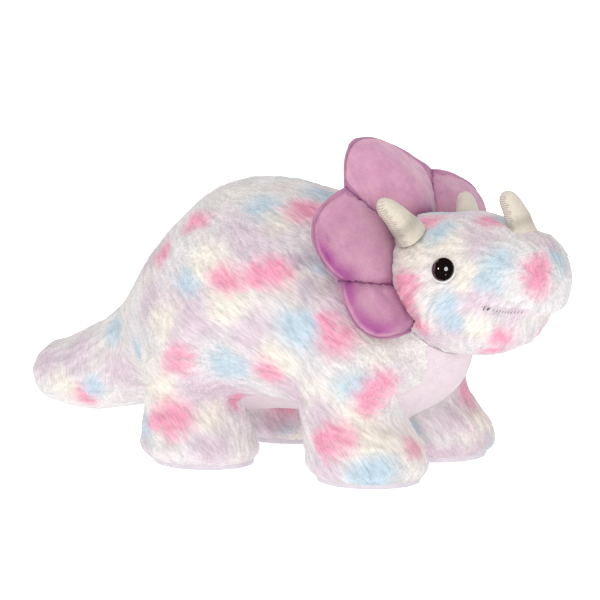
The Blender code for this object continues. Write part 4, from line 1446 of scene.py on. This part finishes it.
def bell(distance, width):
    """1 on a line, falling off with the distance from it, as a column."""
    return np.exp(-((distance / width) ** 2))[:, None]


def build_frill():
    pocket, (back, sewn, rows, outward, least) = sewn_pocket("frill_pocket")
    points = np.array([v.co for v in pocket.data.vertices])
    step = inflate(pocket, sewn)
    outwards = np.sum(step * outward, axis=1)
    step += outward * np.maximum(0.0, -0.5 * MM - outwards)[:, None] * (least > 0)[:, None]
    rim = nearest_away(points, rows == RIM_SEAM_ROW)
    outline = nearest_away(points, rows == FRILL_ROWS)
    seams = nearest_away(points, sewn & (rows < FRILL_ROWS) & (rows > 0))
    inner = nearest_away(points, rows == 0)
    points = points + step * ramp(0.0, 6 * MM, outline)[:, None]
    crumple = 0.8 * MM * noise(points, 15 * MM, 84) + 0.35 * MM * noise(points, 6 * MM, 85)
    crumple = (crumple * ramp(0.0, 6 * MM, seams) * ~sewn)[:, None]
    points = points + outward * (crumple - RIM_GROOVE * bell(rim, 1.0 * MM) * ~sewn[:, None])
    x, _, z = points.T
    line = np.maximum(0.32 * bell(rim, 0.6 * MM), 0.62 * bell(seams, 0.95 * MM))
    # low and nap mark where the frill turns darker and more magenta near its lower outline:
    # painted shade, not the velour's nap
    low = ramp(0.156, 0.136, z + 5 * MM * noise(points, 12 * MM, 81)) * ramp(0.102, 0.088, x)
    nap = low * ramp(16.0, 4.0, outline / MM + 4.0 * noise(points, 9 * MM, 87))
    nap = nap * ramp(2.0, 5.0, outline / MM) * (1 + 0.2 * noise(points, 4 * MM, 88))
    cloud = ramp(-0.1, 0.8, noise(points, 11 * MM, 82))
    smudge = ramp(0.35, 0.8, noise(points, 4.5 * MM, 83))
    smudge = smudge * ramp(-0.1, 0.4, noise(points, 18 * MM, 86))
    # Painted shade and mottling, multiplied into the velour: darker along the rim groove and the
    # seams, in a band beside the seams, along the inner edge where the frill meets the head,
    # towards the bottom and near the lower outline; cloud and smudge are random mottling.
    stain = np.ones_like(points)
    for amount, taken in (
        (line, (0.7, 1.0, 0.7)),
        (0.28 * bell(seams, 4 * MM), (0.6, 1.0, 0.6)),
        (0.80 * bell(inner, 6.5 * MM), (0.7, 1.0, 0.75)),
        (0.20 * ramp(0.170, 0.142, z)[:, None], (1.0, 1.0, 1.0)),
        (nap[:, None], (0.28, 0.66, 0.26)),
        (cloud[:, None], (0.06, 0.13, 0.05)),
        (smudge[:, None], (0.20, 0.30, 0.13)),
    ):
        stain = stain * (1.0 - amount * taken)
    faces = np.array([list(p.vertices) for p in pocket.data.polygons])
    bpy.data.objects.remove(pocket)
    for word, chosen, material, slot in (
        ("front", ~back, MAUVE, "mauve_velour"),
        ("back", back, MAUVE_SHADED_BACK, "mauve_velour_back"),
    ):
        used = np.unique(faces[chosen])
        number = np.full(len(points), -1)
        number[used] = np.arange(len(used))
        name = "frill_" + word
        piece = add_mesh(name + "_panel", points[used], number[faces[chosen]], material)
        set_attribute(piece, "stain", "FLOAT_COLOR", np.clip(stain[used], 0.05, 1.0))
        fabric = piece.modifiers.new("fabric", "SOLIDIFY")
        fabric.thickness = FRILL_CLOTH
        fabric.offset = -1.0
        fabric.use_even_offset = False
        declare(piece, "frill", name)
    for word, lobe in zip(LOBE_WORDS, lobes()):
        fill_lobe(word, lobe)


def fill_lobe(word, lobe):
    """The wadding of one lobe, thinner than its pocket and short of its seams."""
    picks = np.arange(WADDING_COLUMNS, FRILL_COLUMNS + 1 - WADDING_COLUMNS, 2)
    rows = np.arange(WADDING_ROWS, FRILL_ROWS - WADDING_RIM, 2)
    middle, normal, half = (values[picks][:, rows] for values in lobe_points(lobe))
    out = normal * (WADDING_SHARE * half)[..., None]
    grid = Grid(np.concatenate([middle - out, (middle + out)[:, ::-1]], axis=1))
    piece = part_of("frill_filling_" + word, grid, FIBRE)
    declare(piece, "frill", "frill_stuffing_" + word)


# ---------------------------------------------------------------- carried-over CAD nodes


def dress_cad_nodes():
    """Filling and washers keep their CAD shape and get their materials."""
    for name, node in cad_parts.items():
        for word, material in (("stuffing", FIBRE), ("washer", WASHER)):
            if word in name:
                node.data.materials.clear()
                node.data.materials.append(material)


# ---------------------------------------------------------------- studio

VIEW_TURN = math.radians(31.7)
VIEW_RISE = math.radians(10.4)
VIEW_DISTANCE = 8.0
VIEW_WIDTH = 0.3456
VIEW_CENTRE = (-0.0006, 0.0890)
SENSOR = 36.0
LIT_POINT = Vector((0.02, 0, 0.08))
WORLD_STRENGTH = 0.605
BACKDROP_STRENGTH = 1.02
FLOOR_GLOW = 0.52


def view_axes():
    """The photo's view: its right, its up and the way back to the viewer."""
    right = Vector((math.cos(VIEW_TURN), math.sin(VIEW_TURN), 0.0))
    level = math.cos(VIEW_RISE)
    back = Vector((right.y * level, -right.x * level, math.sin(VIEW_RISE)))
    return right, back.cross(right), back


def place_facing(name, data, target, direction, distance):
    """A camera or a light that looks at a target from a direction."""
    holder = bpy.data.objects.new(name, data)
    holder.location = target + direction * distance
    holder.rotation_mode = "QUATERNION"
    holder.rotation_quaternion = direction.to_track_quat("Z", "Y")
    bpy.context.scene.collection.objects.link(holder)
    return holder


def add_camera():
    right, up, back = view_axes()
    camera = bpy.data.cameras.new("camera")
    camera.sensor_width = SENSOR
    camera.lens = SENSOR * VIEW_DISTANCE / VIEW_WIDTH
    target = right * VIEW_CENTRE[0] + up * VIEW_CENTRE[1]
    bpy.context.scene.camera = place_facing("camera", camera, target, back, VIEW_DISTANCE)


def add_light(name, direction, distance, size, strength, glossy):
    """A soft round light. Strength is the brightness that it gives a white surface."""
    light = bpy.data.lights.new(name, "AREA")
    light.shape = "DISK"
    light.size = size
    light.energy = strength * math.pi**2 * distance**2
    holder = place_facing(name, light, LIT_POINT, direction.normalized(), distance)
    holder.visible_glossy = glossy


def mirrored_in_eye(right_share, up_share):
    """The direction that the near eye's dome mirrors at a place given as shares of its
    radius, right and up of its middle."""
    spot, out = eye_place(-1)
    tilt = Vector((0, 0, 1)).rotation_difference(out).to_matrix()
    right, up, back = view_axes()
    best = None
    for rise in np.linspace(0.3, 0.5 * math.pi, 90):
        for turn in np.linspace(0.0, 2 * math.pi, 181):
            flat = Vector((math.cos(turn), math.sin(turn), 0.0)) * math.cos(rise)
            place = tilt @ (flat * EYE_RADIUS + Vector((0, 0, EYE_DOME * (math.sin(rise) - 0.4))))
            miss = (place.dot(right) / EYE_RADIUS - right_share) ** 2
            miss += (place.dot(up) / EYE_RADIUS - up_share) ** 2
            if best is None or miss < best[0]:
                normal = flat / EYE_RADIUS + Vector((0, 0, math.sin(rise) / EYE_DOME))
                best = (miss, (tilt @ normal).normalized())
    normal = best[1]
    return 2 * normal.dot(back) * normal - back


def add_studio():
    scene = bpy.context.scene
    scene.view_settings.view_transform = "Standard"
    scene.view_settings.look = "None"
    world = bpy.data.worlds.new("studio")
    scene.world = world
    world.use_nodes = True
    world.cycles_visibility.glossy = False
    sky = world.node_tree.nodes["Background"]
    w = Tree(world.node_tree)
    inputs = {
        "Value": w.add("ShaderNodeLightPath").outputs["Is Camera Ray"],
        "To Min": WORLD_STRENGTH,
        "To Max": BACKDROP_STRENGTH,
    }
    strength = w.add("ShaderNodeMapRange", inputs).outputs[0]
    w.feed_all(sky, {"Color": (1.0, 1.0, 1.0, 1.0), "Strength": strength})
    right, up, back = view_axes()
    # The first three show in the eye's gloss, the others don't
    for name, direction, distance, size, strength in (
        ("key", mirrored_in_eye(0.38, 0.0), 1.8, 0.80, 0.21),
        ("second", mirrored_in_eye(-0.24, 0.04), 1.8, 0.22, 0.04),
        ("low", mirrored_in_eye(0.34, -0.45), 1.8, 0.26, 0.010),
        ("front", back + Vector((0, 0, 0.2)) + right * 0.25, 2.4, 1.6, 0.11),
        ("top", Vector((-0.45, -0.1, 1.0)), 2.4, 1.6, 0.13),
        ("rear", Vector((-0.5, 0.85, 0.55)), 2.4, 1.6, 0.17),
    ):
        add_light(name, direction, distance, size, strength, size < 1.0)
    builder = bmesh.new()
    bmesh.ops.create_grid(builder, x_segments=8, y_segments=8, size=4.0)
    mesh = bpy.data.meshes.new("floor")
    builder.to_mesh(mesh)
    builder.free()
    floor = bpy.data.objects.new("floor", mesh)
    floor.location.z = -0.4 * MM
    scene.collection.objects.link(floor)
    floor.visible_glossy = False
    n = Nodes("floor_paper")
    n.colour(n.mix(n.noise(30.0), (0.95, 0.95, 0.95, 1.0), (0.93, 0.93, 0.935, 1.0)))
    n.feed_all(n.shader, {
        "Emission Color": (1.0, 1.0, 1.0, 1.0), "Emission Strength": FLOOR_GLOW,
    })
    mesh.materials.append(n.finish(1.0, specular=0.0))


# ---------------------------------------------------------------- the toy

add_camera()
add_studio()
spots = body_spots()
build_torso(spots)
build_tail(spots)
for leg in LEGS:
    build_leg(leg, spots)
build_head()
for word, side in (("left", 1), ("right", -1)):
    build_eye(word, side)
    build_mouth(word, side)
for name, horn in HORNS.items():
    build_horn(name, *horn)
build_frill()
dress_cad_nodes()
